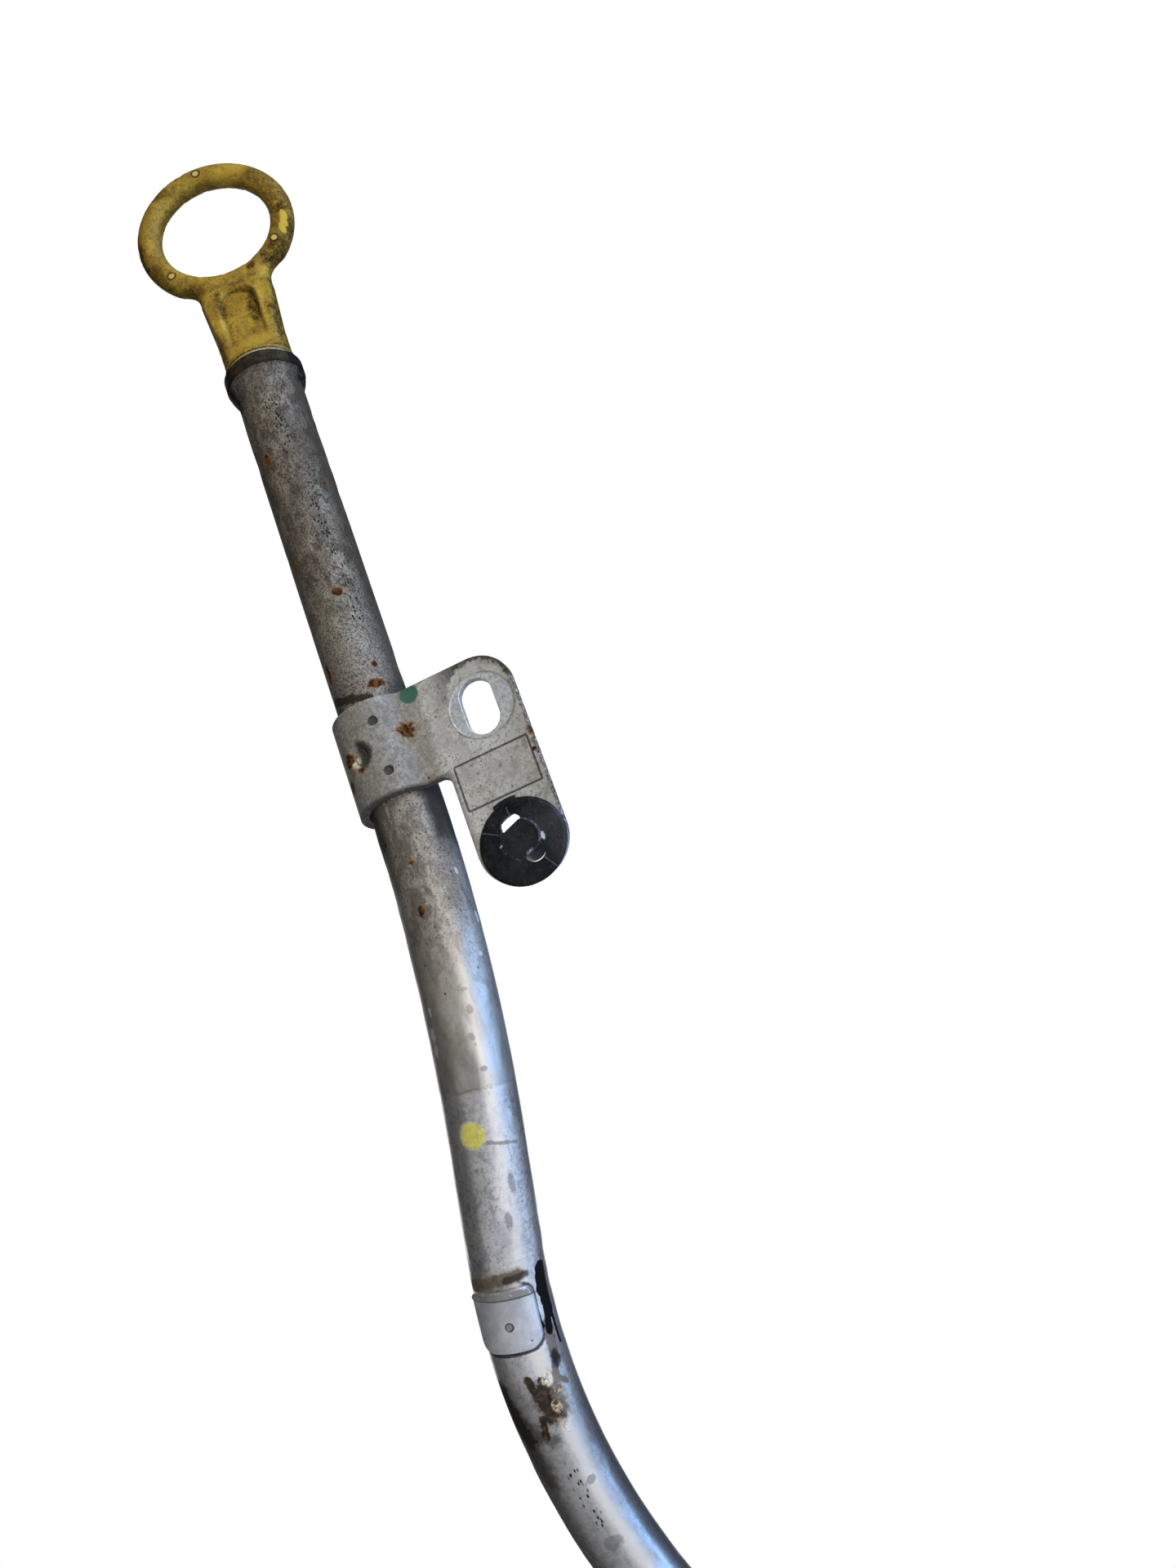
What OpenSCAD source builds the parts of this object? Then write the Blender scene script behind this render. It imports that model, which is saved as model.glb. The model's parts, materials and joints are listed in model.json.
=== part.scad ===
// Engine oil dipstick in its bent guide tube, with the bolt-on bracket.
// Origin: centre of the bolt's seat on the bracket's front face. +Z runs up the straight
// part of the tube, +X from the tube towards the seat, and -Y faces the viewer.

/* [Guide tube] */
// Outer diameter of the steel guide tube
tube_od = 16; // [13:0.5:19]
// Wall thickness of the guide tube
tube_wall = 1.2; // [0.9:0.1:1.6]
// Height of the tube's mouth above the seat centre
mouth_z = 103; // [80:1:140]
// How far the mouth flares out on the radius
flare_out = 1.3; // [0.8:0.1:1.8]
// Height of the flare below the mouth
flare_h = 4.5; // [3:0.5:7]

/* [Tube bends] */
// Bend radius of the tube's centre line
bend_r = 150; // [100:5:220]
// Depth below the seat centre at which the first bend starts
bend1_start = 11.5; // [11.5:0.5:30]
// Angle of the first bend
bend1_angle = 27; // [10:1:45]
// Direction of the first bend, turned from +X
bend1_turn = 128; // [90:1:180]
// Height of the faint line left where the bending die starts and stops
die_mark = 0.03; // [0.02:0.01:0.06]
// Straight length between the two bends
mid_len = 24.5; // [10:0.5:60]
// Angle of the second bend
bend2_angle = 32; // [15:1:50]
// Direction of the second bend, turned from the first
bend2_turn = -119; // [-180:1:-60]

/* [Tube foot] */
// Straight length of the foot after the second bend
foot_len = 60; // [45:1:90]
// Length of the foot that enters the engine block
socket_len = 22; // [16:1:30]
// Thickness of the stop bead on the foot
bead_h = 2.4; // [1.5:0.1:4]
// How far the stop bead stands out of the tube
bead_out = 2; // [1.5:0.1:3]
// Depth of the seal groove below the bead
foot_groove = 0.5; // [0.3:0.1:0.6]
// Cord diameter of the foot's seal ring
foot_seal_d = 2.4; // [2:0.1:3]
// Chamfer at the foot's end
foot_chamfer = 0.6; // [0.3:0.1:0.8]

/* [Bracket] */
// Thickness of the bracket's sheet
sheet_t = 2; // [1.5:0.1:3]
// Brazing gap between the collar and the tube
braze_gap = 0.1; // [0.05:0.05:0.3]
// Height of the collar round the tube
collar_h = 22.5; // [20:0.5:30]
// Angle that the collar wraps from its front round to the back
collar_wrap = 200; // [150:5:230]
// Distance of the plate's front face behind the collar's front
plate_setback = 3.6; // [2:0.1:4.5]
// Radius of the hollow where the collar runs into the plate
root_r = 2.5; // [1.5:0.1:3]
// Distance from the tube's axis to the seat centre
seat_reach = 24.5; // [22:0.5:40]
// Distance from the seat centre to the plate's outer edge
edge_reach = 8.2; // [7:0.1:12]
// Corner radius at the plate's top
plate_corner_r = 8; // [3:0.5:8]
// Width of the lower tab
tab_w = 19.6; // [19:0.1:21]
// Distance from the seat centre to the tab's end
tab_drop = 40.1; // [38:0.1:60]
// Corner radius at the tab's end
tab_corner_r = 9; // [3:0.5:9]
// Radius of the notch between the collar and the tab
notch_r = 2.5; // [1:0.1:2.5]

/* [Bolt slot] */
// Width of the bolt slot
slot_w = 7.4; // [6.5:0.1:8.5]
// Length of the bolt slot, end to end
slot_len = 12.8; // [10:0.1:14]
// Distance of the slot from the seat centre towards the tube
slot_shift = 0.5; // [0:0.1:1]
// Diameter of the mark pressed in by the bolt's flange
seat_d = 14.6; // [14:0.1:15.5]
// Depth of the mark pressed in by the bolt's flange
seat_depth = 0.15; // [0.1:0.05:0.4]

/* [Stamped details] */
// Width of the engraved frame on the plate
frame_w = 17.4; // [14:0.1:18]
// Height of the engraved frame on the plate
frame_h = 10.9; // [6:0.1:11]
// Distance from the plate's outer edge to the engraved frame
frame_edge = 1.2; // [0.8:0.1:1.5]
// Distance from the seat centre down to the engraved frame
frame_drop = 10.2; // [9:0.1:10.5]
// Width of the engraved line
line_w = 0.45; // [0.3:0.05:0.8]
// Depth of the engraved line
line_depth = 0.2; // [0.1:0.05:0.4]
// Diameter of the dimple that stakes the collar to the tube
stake_d = 5.6; // [4:0.1:7]
// Depth of the stake dimple
stake_depth = 1.1; // [0.5:0.1:1.2]
// Position of the stake dimple, turned from the collar's front
stake_turn = 21; // [0:1:60]
// Diameter of the two locating pips beside the dimple
pip_d = 2; // [1:0.1:3]
// Depth of the pips
pip_depth = 0.5; // [0.2:0.1:0.8]
// Height of each pip above or below the collar's middle
pip_offset = 6; // [4:0.5:8]
// Position of the pips, turned from the collar's front
pip_turn = -11; // [-25:1:-5]

/* [Push clip] */
// Diameter of the hole for the push clip
clip_hole_d = 14; // [13:0.1:14]
// Distance from the seat centre down to the clip
clip_drop = 31.7; // [31.5:0.1:36]
// Diameter of the clip's head
clip_d = 18.9; // [17:0.1:21]
// Height of the clip's domed head
clip_head_h = 2.2; // [1.6:0.1:3]
// Thickness of the clip's head
clip_skin = 1; // [0.8:0.1:1.4]
// Half width of the bridge between the clip's windows
bridge_half = 3.4; // [2.8:0.1:3.6]
// Angle of the bridge, turned from +X
bridge_turn = 21; // [0:1:90]
// Radius of the D windows beside the bridge
window_r = 2.3; // [2:0.1:2.5]
// Depth of the D windows, out from the bridge
window_depth = 2.7; // [2:0.1:3]
// Distance of the windows' middle from the clip's middle along the bridge
window_shift = 0.6; // [-1:0.1:1]
// Radius of the raised boss in the head's middle
boss_r = 4.3; // [3.5:0.1:4.8]
// Radius of the post behind the head
post_r = 2.8; // [2:0.1:3]
// Length of the post behind the sheet
post_len = 5; // [3:0.5:8]
// How far the rim's lug stands out
lug_out = 0.6; // [0.3:0.1:1]
// Angle that the rim's lug covers
lug_angle = 31; // [10:1:60]
// Position of the rim's lug, turned from the bridge
lug_turn = 75; // [40:1:120]
// Clearance between the clip's legs and the hole
leg_gap = 0.2; // [0.1:0.05:0.4]
// Thickness of the clip's legs
leg_t = 1.2; // [1:0.1:1.6]
// How far the barbs stand past the hole's edge
barb_out = 0.7; // [0.4:0.1:1]

/* [Saddle pad] */
// Thickness of the pad brazed to the lower bend
pad_t = 0.7; // [0.5:0.1:1.2]
// Height of the pad along the tube
pad_h = 13; // [10:0.2:16]
// Width of the pad across the tube
pad_w = 13.1; // [9:0.1:15]
// Distance from the start of the second bend to the pad
pad_start = 5.6; // [3:0.1:12]
// Direction that the pad faces, turned from the bend's inside
pad_turn = 102; // [60:0.5:130]
// Corner radius of the pad
pad_corner_r = 2.5; // [1:0.1:4]
// Thickness of the lip along the pad's top
lip_h = 1.7; // [0.8:0.1:2.5]
// How far the lip stands above the pad
lip_out = 0.4; // [0.3:0.1:1.2]
// Diameter of the round mark on the pad
pad_mark_d = 1.7; // [1:0.1:3]
// Position of the round mark, turned from the pad's middle
pad_mark_turn = 7; // [-20:1:20]

/* [Handle] */
// Radius of the finger ring's centre line
ring_r = 17; // [14:0.5:20]
// Thickness of the finger ring
ring_d = 6; // [4.5:0.25:7]
// Height of the finger ring's centre above the flange
ring_rise = 42.8; // [38:0.2:50]
// Angle to which the handle is turned in the tube
handle_turn = 11; // [-45:1:45]
// Width of the stem at the flange
stem_w = 16.4; // [15:0.2:17]
// Width of the stem under the ring
stem_top_w = 18.6; // [17.5:0.2:20]
// Thickness of the stem at the flange
stem_t = 11; // [9:0.5:13]
// Diameter of the flange above the seal
flange_d = 17.2; // [17.2:0.2:20]
// Thickness of the flange
flange_h = 2.4; // [1.6:0.2:3.2]
// Width of the arched hollow in the stem
arch_w = 8.5; // [6:0.5:9]
// Depth of the arched hollow at its top
arch_depth = 1.3; // [0.6:0.1:1.4]
// Length over which the arched hollow runs out
arch_len = 14; // [10:0.5:15]
// Diameter of the round ejector marks on the ring
mark_d = 1.8; // [1.2:0.1:2.4]

/* [Seals] */
// Outer diameter of the rubber seal under the flange
seal_od = 19; // [18.2:0.2:21]
// Height of the rubber seal between the mouth and the flange
seal_h = 3.6; // [2.5:0.1:5]
// Cord diameter of the plug's seal rings
plug_seal_d = 1.8; // [1.4:0.1:2]
// Distance from the flange down to the plug's first seal ring
seal_drop = 10.5; // [9.5:0.5:12]
// Distance between the plug's seal rings
seal_pitch = 7; // [4:0.5:8]
// Clearance between a seal ring and what it seals against
seal_gap = 0.03; // [0.02:0.01:0.08]
// Length of the plug inside the tube
plug_len = 24; // [21:0.5:32]
// Clearance between the plug and the tube's bore
plug_gap = 0.2; // [0.1:0.05:0.4]

/* [Gauge rod] */
// Diameter of the gauge rod
rod_d = 3; // [2:0.1:3.4]
// Clearance between the rod and the sleeves crimped round it
rod_gap = 0.05; // [0.02:0.01:0.1]
// Wall thickness of the crimped sleeves
sleeve_t = 1; // [0.6:0.1:1.2]
// Length of each crimped sleeve
sleeve_len = 11; // [8:0.5:14]
// Length of rod beyond the tube's foot
rod_reach = 62; // [30:1:120]
// Length of the flat gauge blade
blade_len = 46; // [40:1:60]
// Width of the gauge blade
blade_w = 6; // [5:0.2:8]
// Thickness of the gauge blade
blade_t = 1.4; // [1:0.1:2]
// Distance from the blade's end up to the low mark
mark_end = 8; // [6:1:14]
// Distance between the low and high marks on the blade
mark_span = 20; // [12:1:22]

/* [Hidden] */
$fn = 96;

steel_color = [0.55, 0.54, 0.52];
plate_color = [0.58, 0.56, 0.52];
handle_color = [0.66, 0.55, 0.20];
rubber_color = [0.09, 0.09, 0.10];
rod_color = [0.62, 0.63, 0.65];

// Overlap that makes a cut pass right through a face
cut = 1;
// Overlap that makes a round meet its neighbour at a clear edge
bite = 0.04;

tube_r = tube_od / 2;
bore_r = tube_r - tube_wall;
collar_in_r = tube_r + braze_gap;
collar_out_r = collar_in_r + sheet_t;
plate_y = collar_out_r - plate_setback;
hollow_y = plate_y + root_r;
hollow_x = sqrt(pow(collar_out_r + root_r, 2) - pow(hollow_y, 2));
plate_x = hollow_x + root_r / 2;
tab_left = edge_reach - tab_w;
clip_x = edge_reach - tab_w / 2 + 0.3;
flange_z = mouth_z + seal_h;
ring_z = flange_z + flange_h + ring_rise;
ferrule_z = flange_z - plug_len;
sleeve_r = rod_d / 2 + rod_gap + sleeve_t;
groove_w = plug_seal_d + 0.4;
plug_r = bore_r - plug_gap;
plug_seal_r = bore_r - seal_gap - plug_seal_d / 2;
plug_groove_r = plug_seal_r - plug_seal_d / 2 - seal_gap;
upper_seal_z = flange_z - seal_drop;
lower_seal_z = upper_seal_z - seal_pitch;
foot_groove_w = foot_seal_d + 0.6;
foot_groove_z = -foot_len + socket_len - foot_groove_w;
foot_seal_r = tube_r - foot_groove + seal_gap + foot_seal_d / 2;
blade_top = -foot_len - rod_reach - 1;

// Moves children from the tube's axis to their place beside the seat
module on_tube() {
    translate([-seat_reach, plate_y, 0]) children();
}

// The frame at the start of the first bend, with the bend towards its +X
module to_bend1() {
    translate([0, 0, -bend1_start]) rotate([0, 0, bend1_turn]) children();
}

// The frame at the end of a bend that starts here
module after_bend(angle) {
    translate([bend_r * (1 - cos(angle)), 0, -bend_r * sin(angle)])
        rotate([0, -angle, 0]) children();
}

// The frame at the start of the straight between the bends
module to_mid() {
    to_bend1() after_bend(bend1_angle) children();
}

// The frame at the start of the second bend
module to_bend2() {
    to_mid() translate([0, 0, -mid_len]) rotate([0, 0, bend2_turn]) children();
}

// The frame at the top of the straight foot, which runs down -Z
module to_foot() {
    to_bend2() after_bend(bend2_angle) children();
}

// Sweeps a flat section along a bend; the section's +X and +Y come out as -X and -Y
module bend_sweep(angle) {
    translate([bend_r, 0, 0]) rotate([90, 0, 0]) rotate([0, 0, 180])
        rotate_extrude(angle = angle, $fn = 360) translate([bend_r, 0]) children();
}

// A round bar along the tube's route, from a height on the straight to a depth on the foot
module route_bar(r, top, depth) {
    translate([0, 0, -bend1_start]) {
        die_line(r);
        cylinder(r = r, h = top + bend1_start);
    }
    to_bend1() bend_sweep(bend1_angle) circle(r);
    to_mid() {
        die_line(r);
        translate([0, 0, -mid_len]) {
            die_line(r);
            cylinder(r = r, h = mid_len);
        }
    }
    to_bend2() bend_sweep(bend2_angle) circle(r);
    to_foot() {
        die_line(r);
        translate([0, 0, -depth]) cylinder(r = r, h = depth);
    }
}

// Faint raised line round the bar where a bend starts or ends
module die_line(r) {
    cylinder(r = r + die_mark, h = 0.4, center = true);
}

// Radius added by the flare at a share of its height, smooth at both ends
function flare(share) = flare_out * share * share * (3 - 2 * share);

// Profile of the flared mouth for a tube surface of radius r, from its foot to its rim
function flare_points(r) =
    [for (i = [0:8]) [r + flare(i / 8), mouth_z - flare_h * (1 - i / 8)]];

module mouth_solid(r, rise) {
    rotate_extrude()
        polygon(concat([[0, mouth_z - flare_h]], flare_points(r),
                       [[r + flare_out, mouth_z + rise], [0, mouth_z + rise]]));
}

module guide_tube() {
    color(steel_color) on_tube() difference() {
        union() {
            route_bar(tube_r, mouth_z - flare_h, foot_len);
            mouth_solid(tube_r, 0);
            to_foot() translate([0, 0, -foot_len + socket_len]) foot_bead();
        }
        route_bar(bore_r, mouth_z - flare_h, foot_len + cut);
        mouth_solid(bore_r, cut);
        to_foot() {
            translate([0, 0, foot_groove_z]) foot_seal_groove();
            translate([0, 0, -foot_len]) foot_end_chamfer();
        }
    }
}

// Rolled stop bead with rounded edges
module foot_bead() {
    rotate_extrude() translate([tube_r - tube_wall / 2, 0]) {
        square([tube_wall / 2 + bead_out - bead_h / 2, bead_h]);
        translate([tube_wall / 2 + bead_out - bead_h / 2, bead_h / 2]) circle(bead_h / 2);
    }
}

module foot_seal_groove() {
    rotate_extrude() translate([tube_r - foot_groove, 0])
        square([foot_groove + cut, foot_groove_w]);
}

module foot_end_chamfer() {
    rotate_extrude() polygon([[tube_r - foot_chamfer, -cut], [tube_r + cut, -cut],
                              [tube_r + cut, foot_chamfer], [tube_r, foot_chamfer],
                              [tube_r - foot_chamfer, 0]]);
}

module foot_seal() {
    color(rubber_color) on_tube() to_foot()
        translate([0, 0, foot_groove_z + foot_groove_w / 2])
        rotate_extrude() translate([foot_seal_r, 0]) circle(foot_seal_d / 2);
}

// Corner piece that rounds an outer corner when cut away, or fills an inner one
module corner(r, reach) {
    difference() {
        square(r + reach);
        circle(r);
    }
}

// Outline of the plate and its tab, seen from the front with the seat centre at 0
module plate_outline() {
    difference() {
        union() {
            translate([plate_x - seat_reach, -collar_h / 2])
                square([seat_reach - plate_x + edge_reach, collar_h]);
            translate([tab_left, -tab_drop]) square([tab_w, tab_drop]);
            translate([tab_left - notch_r, -collar_h / 2 - notch_r])
                corner(notch_r, 0);
        }
        translate([edge_reach - plate_corner_r, collar_h / 2 - plate_corner_r])
            corner(plate_corner_r, cut);
        translate([edge_reach - tab_corner_r, tab_corner_r - tab_drop])
            rotate(-90) corner(tab_corner_r, cut);
        translate([tab_left + tab_corner_r, tab_corner_r - tab_drop])
            rotate(180) corner(tab_corner_r, cut);
    }
}

module slot_outline() {
    straight = slot_len - slot_w;
    translate([-slot_shift, 0]) {
        square([slot_w, straight], center = true);
        for (side = [-1, 1]) translate([0, side * straight / 2]) circle(slot_w / 2);
    }
}

// Line frame that borders the bare marking field
module frame_line() {
    translate([edge_reach - frame_edge - frame_w, -frame_drop - frame_h]) difference() {
        square([frame_w, frame_h]);
        translate([line_w, line_w]) square([frame_w - 2 * line_w, frame_h - 2 * line_w]);
    }
}

// Raises a front-view outline into a solid from depth y0 to depth y1
module plate_solid(y0, y1) {
    translate([0, y1, 0]) rotate([90, 0, 0]) linear_extrude(y1 - y0) children();
}

// Opening at the back right that the collar leaves free
module open_wedge() {
    front_turn = asin(plate_y / collar_out_r);
    back_turn = asin((plate_y - sheet_t) / collar_in_r);
    from = -(front_turn + back_turn) / 2;
    to = 270 - collar_wrap;
    reach = 3 * collar_out_r;
    polygon([[0, 0], [reach * cos(from), reach * sin(from)], [reach, 0],
             [reach * cos(to), reach * sin(to)]]);
}

// Area outside a circle about the hollow's centre, towards the corner it rounds
module root_fill(share, back_y, r) {
    difference() {
        polygon([[hollow_x * share, -hollow_y * share], [hollow_x, -hollow_y],
                 [hollow_x, back_y], [hollow_x * share, back_y]]);
        translate([hollow_x, -hollow_y]) circle(r);
    }
}

// Section of the sheet, seen from above: the collar, its rounded root and the plate's start
module collar_section() {
    difference() {
        union() {
            difference() {
                circle(collar_out_r);
                open_wedge();
            }
            root_fill((collar_out_r - sheet_t / 2) / (collar_out_r + root_r),
                      sheet_t / 2 - plate_y, root_r + bite);
            translate([collar_in_r - sheet_t, -plate_y])
                square([plate_x + 1 + sheet_t - collar_in_r, sheet_t]);
        }
        circle(collar_in_r);
        root_fill((collar_in_r - sheet_t / 4) / (collar_out_r + root_r),
                  1.25 * sheet_t - plate_y, root_r + sheet_t - bite);
    }
}

// Ball that cuts a dimple of the given diameter and depth at the collar's outside
module dimple(d, depth) {
    ball_r = (d * d / 4 + depth * depth) / (2 * depth);
    translate([0, depth - collar_out_r - ball_r, 0]) sphere(ball_r);
}

module bracket() {
    color(plate_color) difference() {
        union() {
            plate_solid(0, sheet_t) plate_outline();
            on_tube() translate([0, 0, -collar_h / 2])
                linear_extrude(collar_h) collar_section();
        }
        on_tube() {
            rotate([0, 0, -stake_turn]) dimple(stake_d, stake_depth);
            for (side = [-1, 1]) rotate([0, 0, -pip_turn])
                translate([0, pip_depth - collar_out_r, side * pip_offset])
                rotate([90, 0, 0]) cylinder(d = pip_d, h = pip_depth + cut, $fn = 32);
        }
        plate_solid(-cut, sheet_t + cut) slot_outline();
        plate_solid(-cut, seat_depth) circle(d = seat_d);
        plate_solid(-cut, line_depth) frame_line();
        plate_solid(-cut, sheet_t + cut)
            translate([clip_x, -clip_drop]) circle(d = clip_hole_d);
    }
}

// Domed head of the push clip, hollow underneath, with two D windows beside its bridge
module clip_head() {
    hub_r = clip_hole_d / 2 - leg_gap;
    rim_r = clip_d / 2;
    difference() {
        union() {
            rotate_extrude() polygon([
                [0, clip_head_h - clip_skin], [hub_r - leg_t, clip_head_h - clip_skin],
                [rim_r - clip_skin, 0], [rim_r, 0], [rim_r, 0.35 * clip_skin],
                [rim_r - 0.4 * clip_skin, 0.8 * clip_skin],
                [boss_r, clip_head_h - 0.1], [boss_r - 0.2, clip_head_h + 0.2],
                [0, clip_head_h + 0.3]]);
            rotate([0, 0, lug_turn - lug_angle / 2]) rotate_extrude(angle = lug_angle)
                translate([rim_r - clip_skin / 2, 0])
                square([clip_skin / 2 + lug_out, 0.6 * clip_skin]);
        }
        for (side = [-1, 1]) intersection() {
            translate([window_shift, side * (bridge_half + window_depth - window_r), -cut])
                cylinder(r = window_r, h = clip_head_h + 3 * cut);
            translate([-hub_r, side > 0 ? bridge_half : -bridge_half - hub_r, -cut])
                cube([2 * hub_r, hub_r, clip_head_h + 3 * cut]);
        }
    }
}

// Blunt post behind the head that guides the clip into its hole
module clip_post() {
    post_end = -sheet_t - post_len;
    rotate_extrude() polygon([[0, post_end], [post_r - 1, post_end], [post_r, post_end + 1],
                              [post_r, clip_head_h - clip_skin / 2],
                              [0, clip_head_h - clip_skin / 2]]);
}

// One springy leg with its barb, behind the +X end of the bridge
module clip_leg() {
    leg_r = clip_hole_d / 2 - leg_gap;
    barb_z = -sheet_t - leg_gap;
    rotate([0, 0, -30]) rotate_extrude(angle = 60)
        polygon([[leg_r - leg_t, clip_head_h - clip_skin / 2], [leg_r - leg_t, barb_z - 4],
                 [leg_r - 0.2, barb_z - 4], [clip_hole_d / 2 + barb_out, barb_z - 1],
                 [clip_hole_d / 2 + barb_out, barb_z], [leg_r, barb_z],
                 [leg_r, clip_head_h - clip_skin / 2 - leg_t]]);
}

module push_clip() {
    color(rubber_color) translate([clip_x, 0, -clip_drop]) rotate([90, 0, 0])
        rotate([0, 0, bridge_turn]) {
            clip_head();
            clip_post();
            clip_leg();
            rotate([0, 0, 180]) clip_leg();
        }
}

// Curved shell over the bend's outside, between two radii and two distances along the bend
module bend_shell(r0, r1, start, length) {
    start_angle = start * 180 / (PI * bend_r);
    length_angle = length * 180 / (PI * bend_r);
    after_bend(start_angle) bend_sweep(length_angle) difference() {
        circle(r1);
        circle(r0);
    }
}

// Brazed pad on the lower bend, with an out-turned lip along its top edge
module saddle_pad() {
    in_r = tube_r + braze_gap;
    out_r = in_r + pad_t;
    middle = (pad_start + pad_h / 2) * 180 / (PI * bend_r);
    color(steel_color) on_tube() to_bend2() difference() {
        intersection() {
            union() {
                bend_shell(in_r, out_r, pad_start - cut, pad_h + 2 * cut);
                bend_shell(in_r, out_r + lip_out, pad_start - cut, lip_h + cut);
            }
            after_bend(middle) rotate([0, 0, -pad_turn]) rotate([90, 0, 90])
                linear_extrude(out_r + lip_out + cut) pad_outline();
        }
        after_bend(middle) rotate([0, 0, pad_mark_turn - pad_turn])
            translate([out_r - pad_t / 3, 0, -1]) rotate([0, 90, 0])
            cylinder(d = pad_mark_d, h = pad_t, $fn = 32);
    }
}

// Front view of the pad, with rounded corners
module pad_outline() {
    difference() {
        translate([-pad_w / 2, -pad_h / 2]) square([pad_w, pad_h]);
        for (side = [0, 1]) mirror([side, 0]) {
            translate([pad_corner_r - pad_w / 2, pad_corner_r - pad_h / 2])
                rotate(180) corner(pad_corner_r, cut);
            translate([lip_h - pad_w / 2, pad_h / 2 - lip_h])
                rotate(90) corner(lip_h, cut);
        }
    }
}

// Half thickness of the stem at a share of its height, slimmer towards the ring
function stem_half(share) =
    ring_d / 2 - bite + (stem_t - ring_d) / 2 * (1 + cos(180 * min(1, share))) / 2;

// Height above the flange at which the ring's centre line passes the stem's side
function ring_side_z() = ring_rise - sqrt(pow(ring_r, 2) - pow(stem_top_w / 2, 2));

// Round-sided stem between the flange and the ring, flattened towards the ring
module stem() {
    top = ring_side_z();
    difference() {
        intersection() {
            rotate_extrude()
                polygon([[0, 0], [stem_w / 2, 0], [stem_w / 2 + 0.1, top * 0.3],
                         [stem_top_w / 2 - 0.2, top * 0.7], [stem_top_w / 2, top * 0.85],
                         [stem_top_w / 2 + 0.7, top], [0, top]]);
            rotate([90, 0, 90]) linear_extrude(2 * stem_top_w, center = true)
                polygon(concat([for (i = [0:10]) [stem_half(i / 9), top * i / 10]],
                               [for (i = [10:-1:0]) [-stem_half(i / 9), top * i / 10]]));
        }
        translate([0, stem_t, ring_rise]) rotate([90, 0, 0])
            cylinder(r = ring_r, h = 2 * stem_t);
    }
}

// Arched hollow, deepest under the ring and running out towards the flange
module arch_cut() {
    arch_top = ring_rise - ring_r - ring_d / 2 - 1;
    deep = stem_half(arch_top / ring_side_z() / 0.9) - arch_depth;
    shallow = stem_half((arch_top - arch_len) / ring_side_z() / 0.9);
    lean = atan((shallow - deep) / arch_len);
    translate([0, -deep, arch_top]) rotate([-lean, 0, 0]) rotate([90, 0, 0])
        linear_extrude(4 * arch_depth) {
            translate([0, -arch_w / 2]) circle(arch_w / 2);
            translate([-arch_w / 2, -arch_len - arch_w]) square([arch_w, arch_len + arch_w / 2]);
        }
}

module finger_ring() {
    rotate([90, 0, 0]) rotate_extrude() translate([ring_r, 0]) circle(ring_d / 2);
}

module ring_marks() {
    for (turn = [90, -38, -142])
        translate([ring_r * cos(turn), -ring_d / 2 + 0.15, ring_r * sin(turn)])
            rotate([90, 0, 0]) cylinder(d = mark_d, h = 0.5, $fn = 32);
}

module flange() {
    edge = 0.4;
    rotate_extrude() polygon([[0, 0], [flange_d / 2 - edge, 0], [flange_d / 2, edge],
                              [flange_d / 2, flange_h - edge],
                              [flange_d / 2 - edge, flange_h], [0, flange_h]]);
}

// Plug below the flange, with two seal grooves and a socket for the rod's ferrule
module plug() {
    difference() {
        rotate_extrude() polygon([[0, 0], [plug_r - 0.3, 0], [plug_r - 0.3, 1 - seal_h - flare_h],
                                  [plug_r, -seal_h - flare_h], [plug_r, 1 - plug_len],
                                  [plug_r - 1, -plug_len], [0, -plug_len]]);
        for (z = [upper_seal_z, lower_seal_z])
            translate([0, 0, z - flange_z - groove_w / 2]) rotate_extrude()
                translate([plug_groove_r, 0]) square([bore_r, groove_w]);
        translate([0, 0, -plug_len - cut])
            cylinder(r = sleeve_r + rod_gap, h = sleeve_len + rod_gap + cut);
    }
}

module handle() {
    color(handle_color) on_tube() translate([0, 0, flange_z]) rotate([0, 0, handle_turn])
        difference() {
            union() {
                plug();
                flange();
                translate([0, 0, flange_h]) stem();
                translate([0, 0, flange_h + ring_rise]) finger_ring();
            }
            translate([0, 0, flange_h]) for (turn = [0, 180]) rotate([0, 0, turn]) arch_cut();
            translate([0, 0, flange_h + ring_rise]) ring_marks();
        }
}

// Rubber seal between the mouth's rim and the flange, with a lip inside the flare
module mouth_seal() {
    hole_r = plug_r - 0.3 + seal_gap;
    lip_r = bore_r + flare_out * 0.3;
    color(rubber_color) on_tube() translate([0, 0, mouth_z]) rotate_extrude()
        polygon([[hole_r, -flare_h / 3], [lip_r - 0.4, -flare_h / 3], [lip_r, 0],
                 [seal_od / 2 - 0.3, 0], [seal_od / 2, 0.3], [seal_od / 2, seal_h - 0.5],
                 [seal_od / 2 - 0.5, seal_h], [hole_r, seal_h]]);
}

module plug_seal(z) {
    color(rubber_color) on_tube() translate([0, 0, z])
        rotate_extrude() translate([plug_seal_r, 0]) circle(plug_seal_d / 2);
}

module upper_plug_seal() {
    plug_seal(upper_seal_z);
}

module lower_plug_seal() {
    plug_seal(lower_seal_z);
}

// Crimped sleeve, open at both ends unless one is closed by what it holds
module sleeve() {
    difference() {
        cylinder(r = sleeve_r, h = sleeve_len);
        translate([0, 0, -cut])
            cylinder(r = rod_d / 2 + rod_gap, h = sleeve_len + 2 * cut);
    }
}

module rod_ferrule() {
    color(rod_color) on_tube() translate([0, 0, ferrule_z]) sleeve();
}

module gauge_rod() {
    color(rod_color) on_tube() route_bar(rod_d / 2, ferrule_z + sleeve_len, foot_len + rod_reach);
}

module blade_sleeve() {
    color(rod_color) on_tube() to_foot()
        translate([0, 0, -foot_len - rod_reach - sleeve_len / 2]) sleeve();
}

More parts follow.
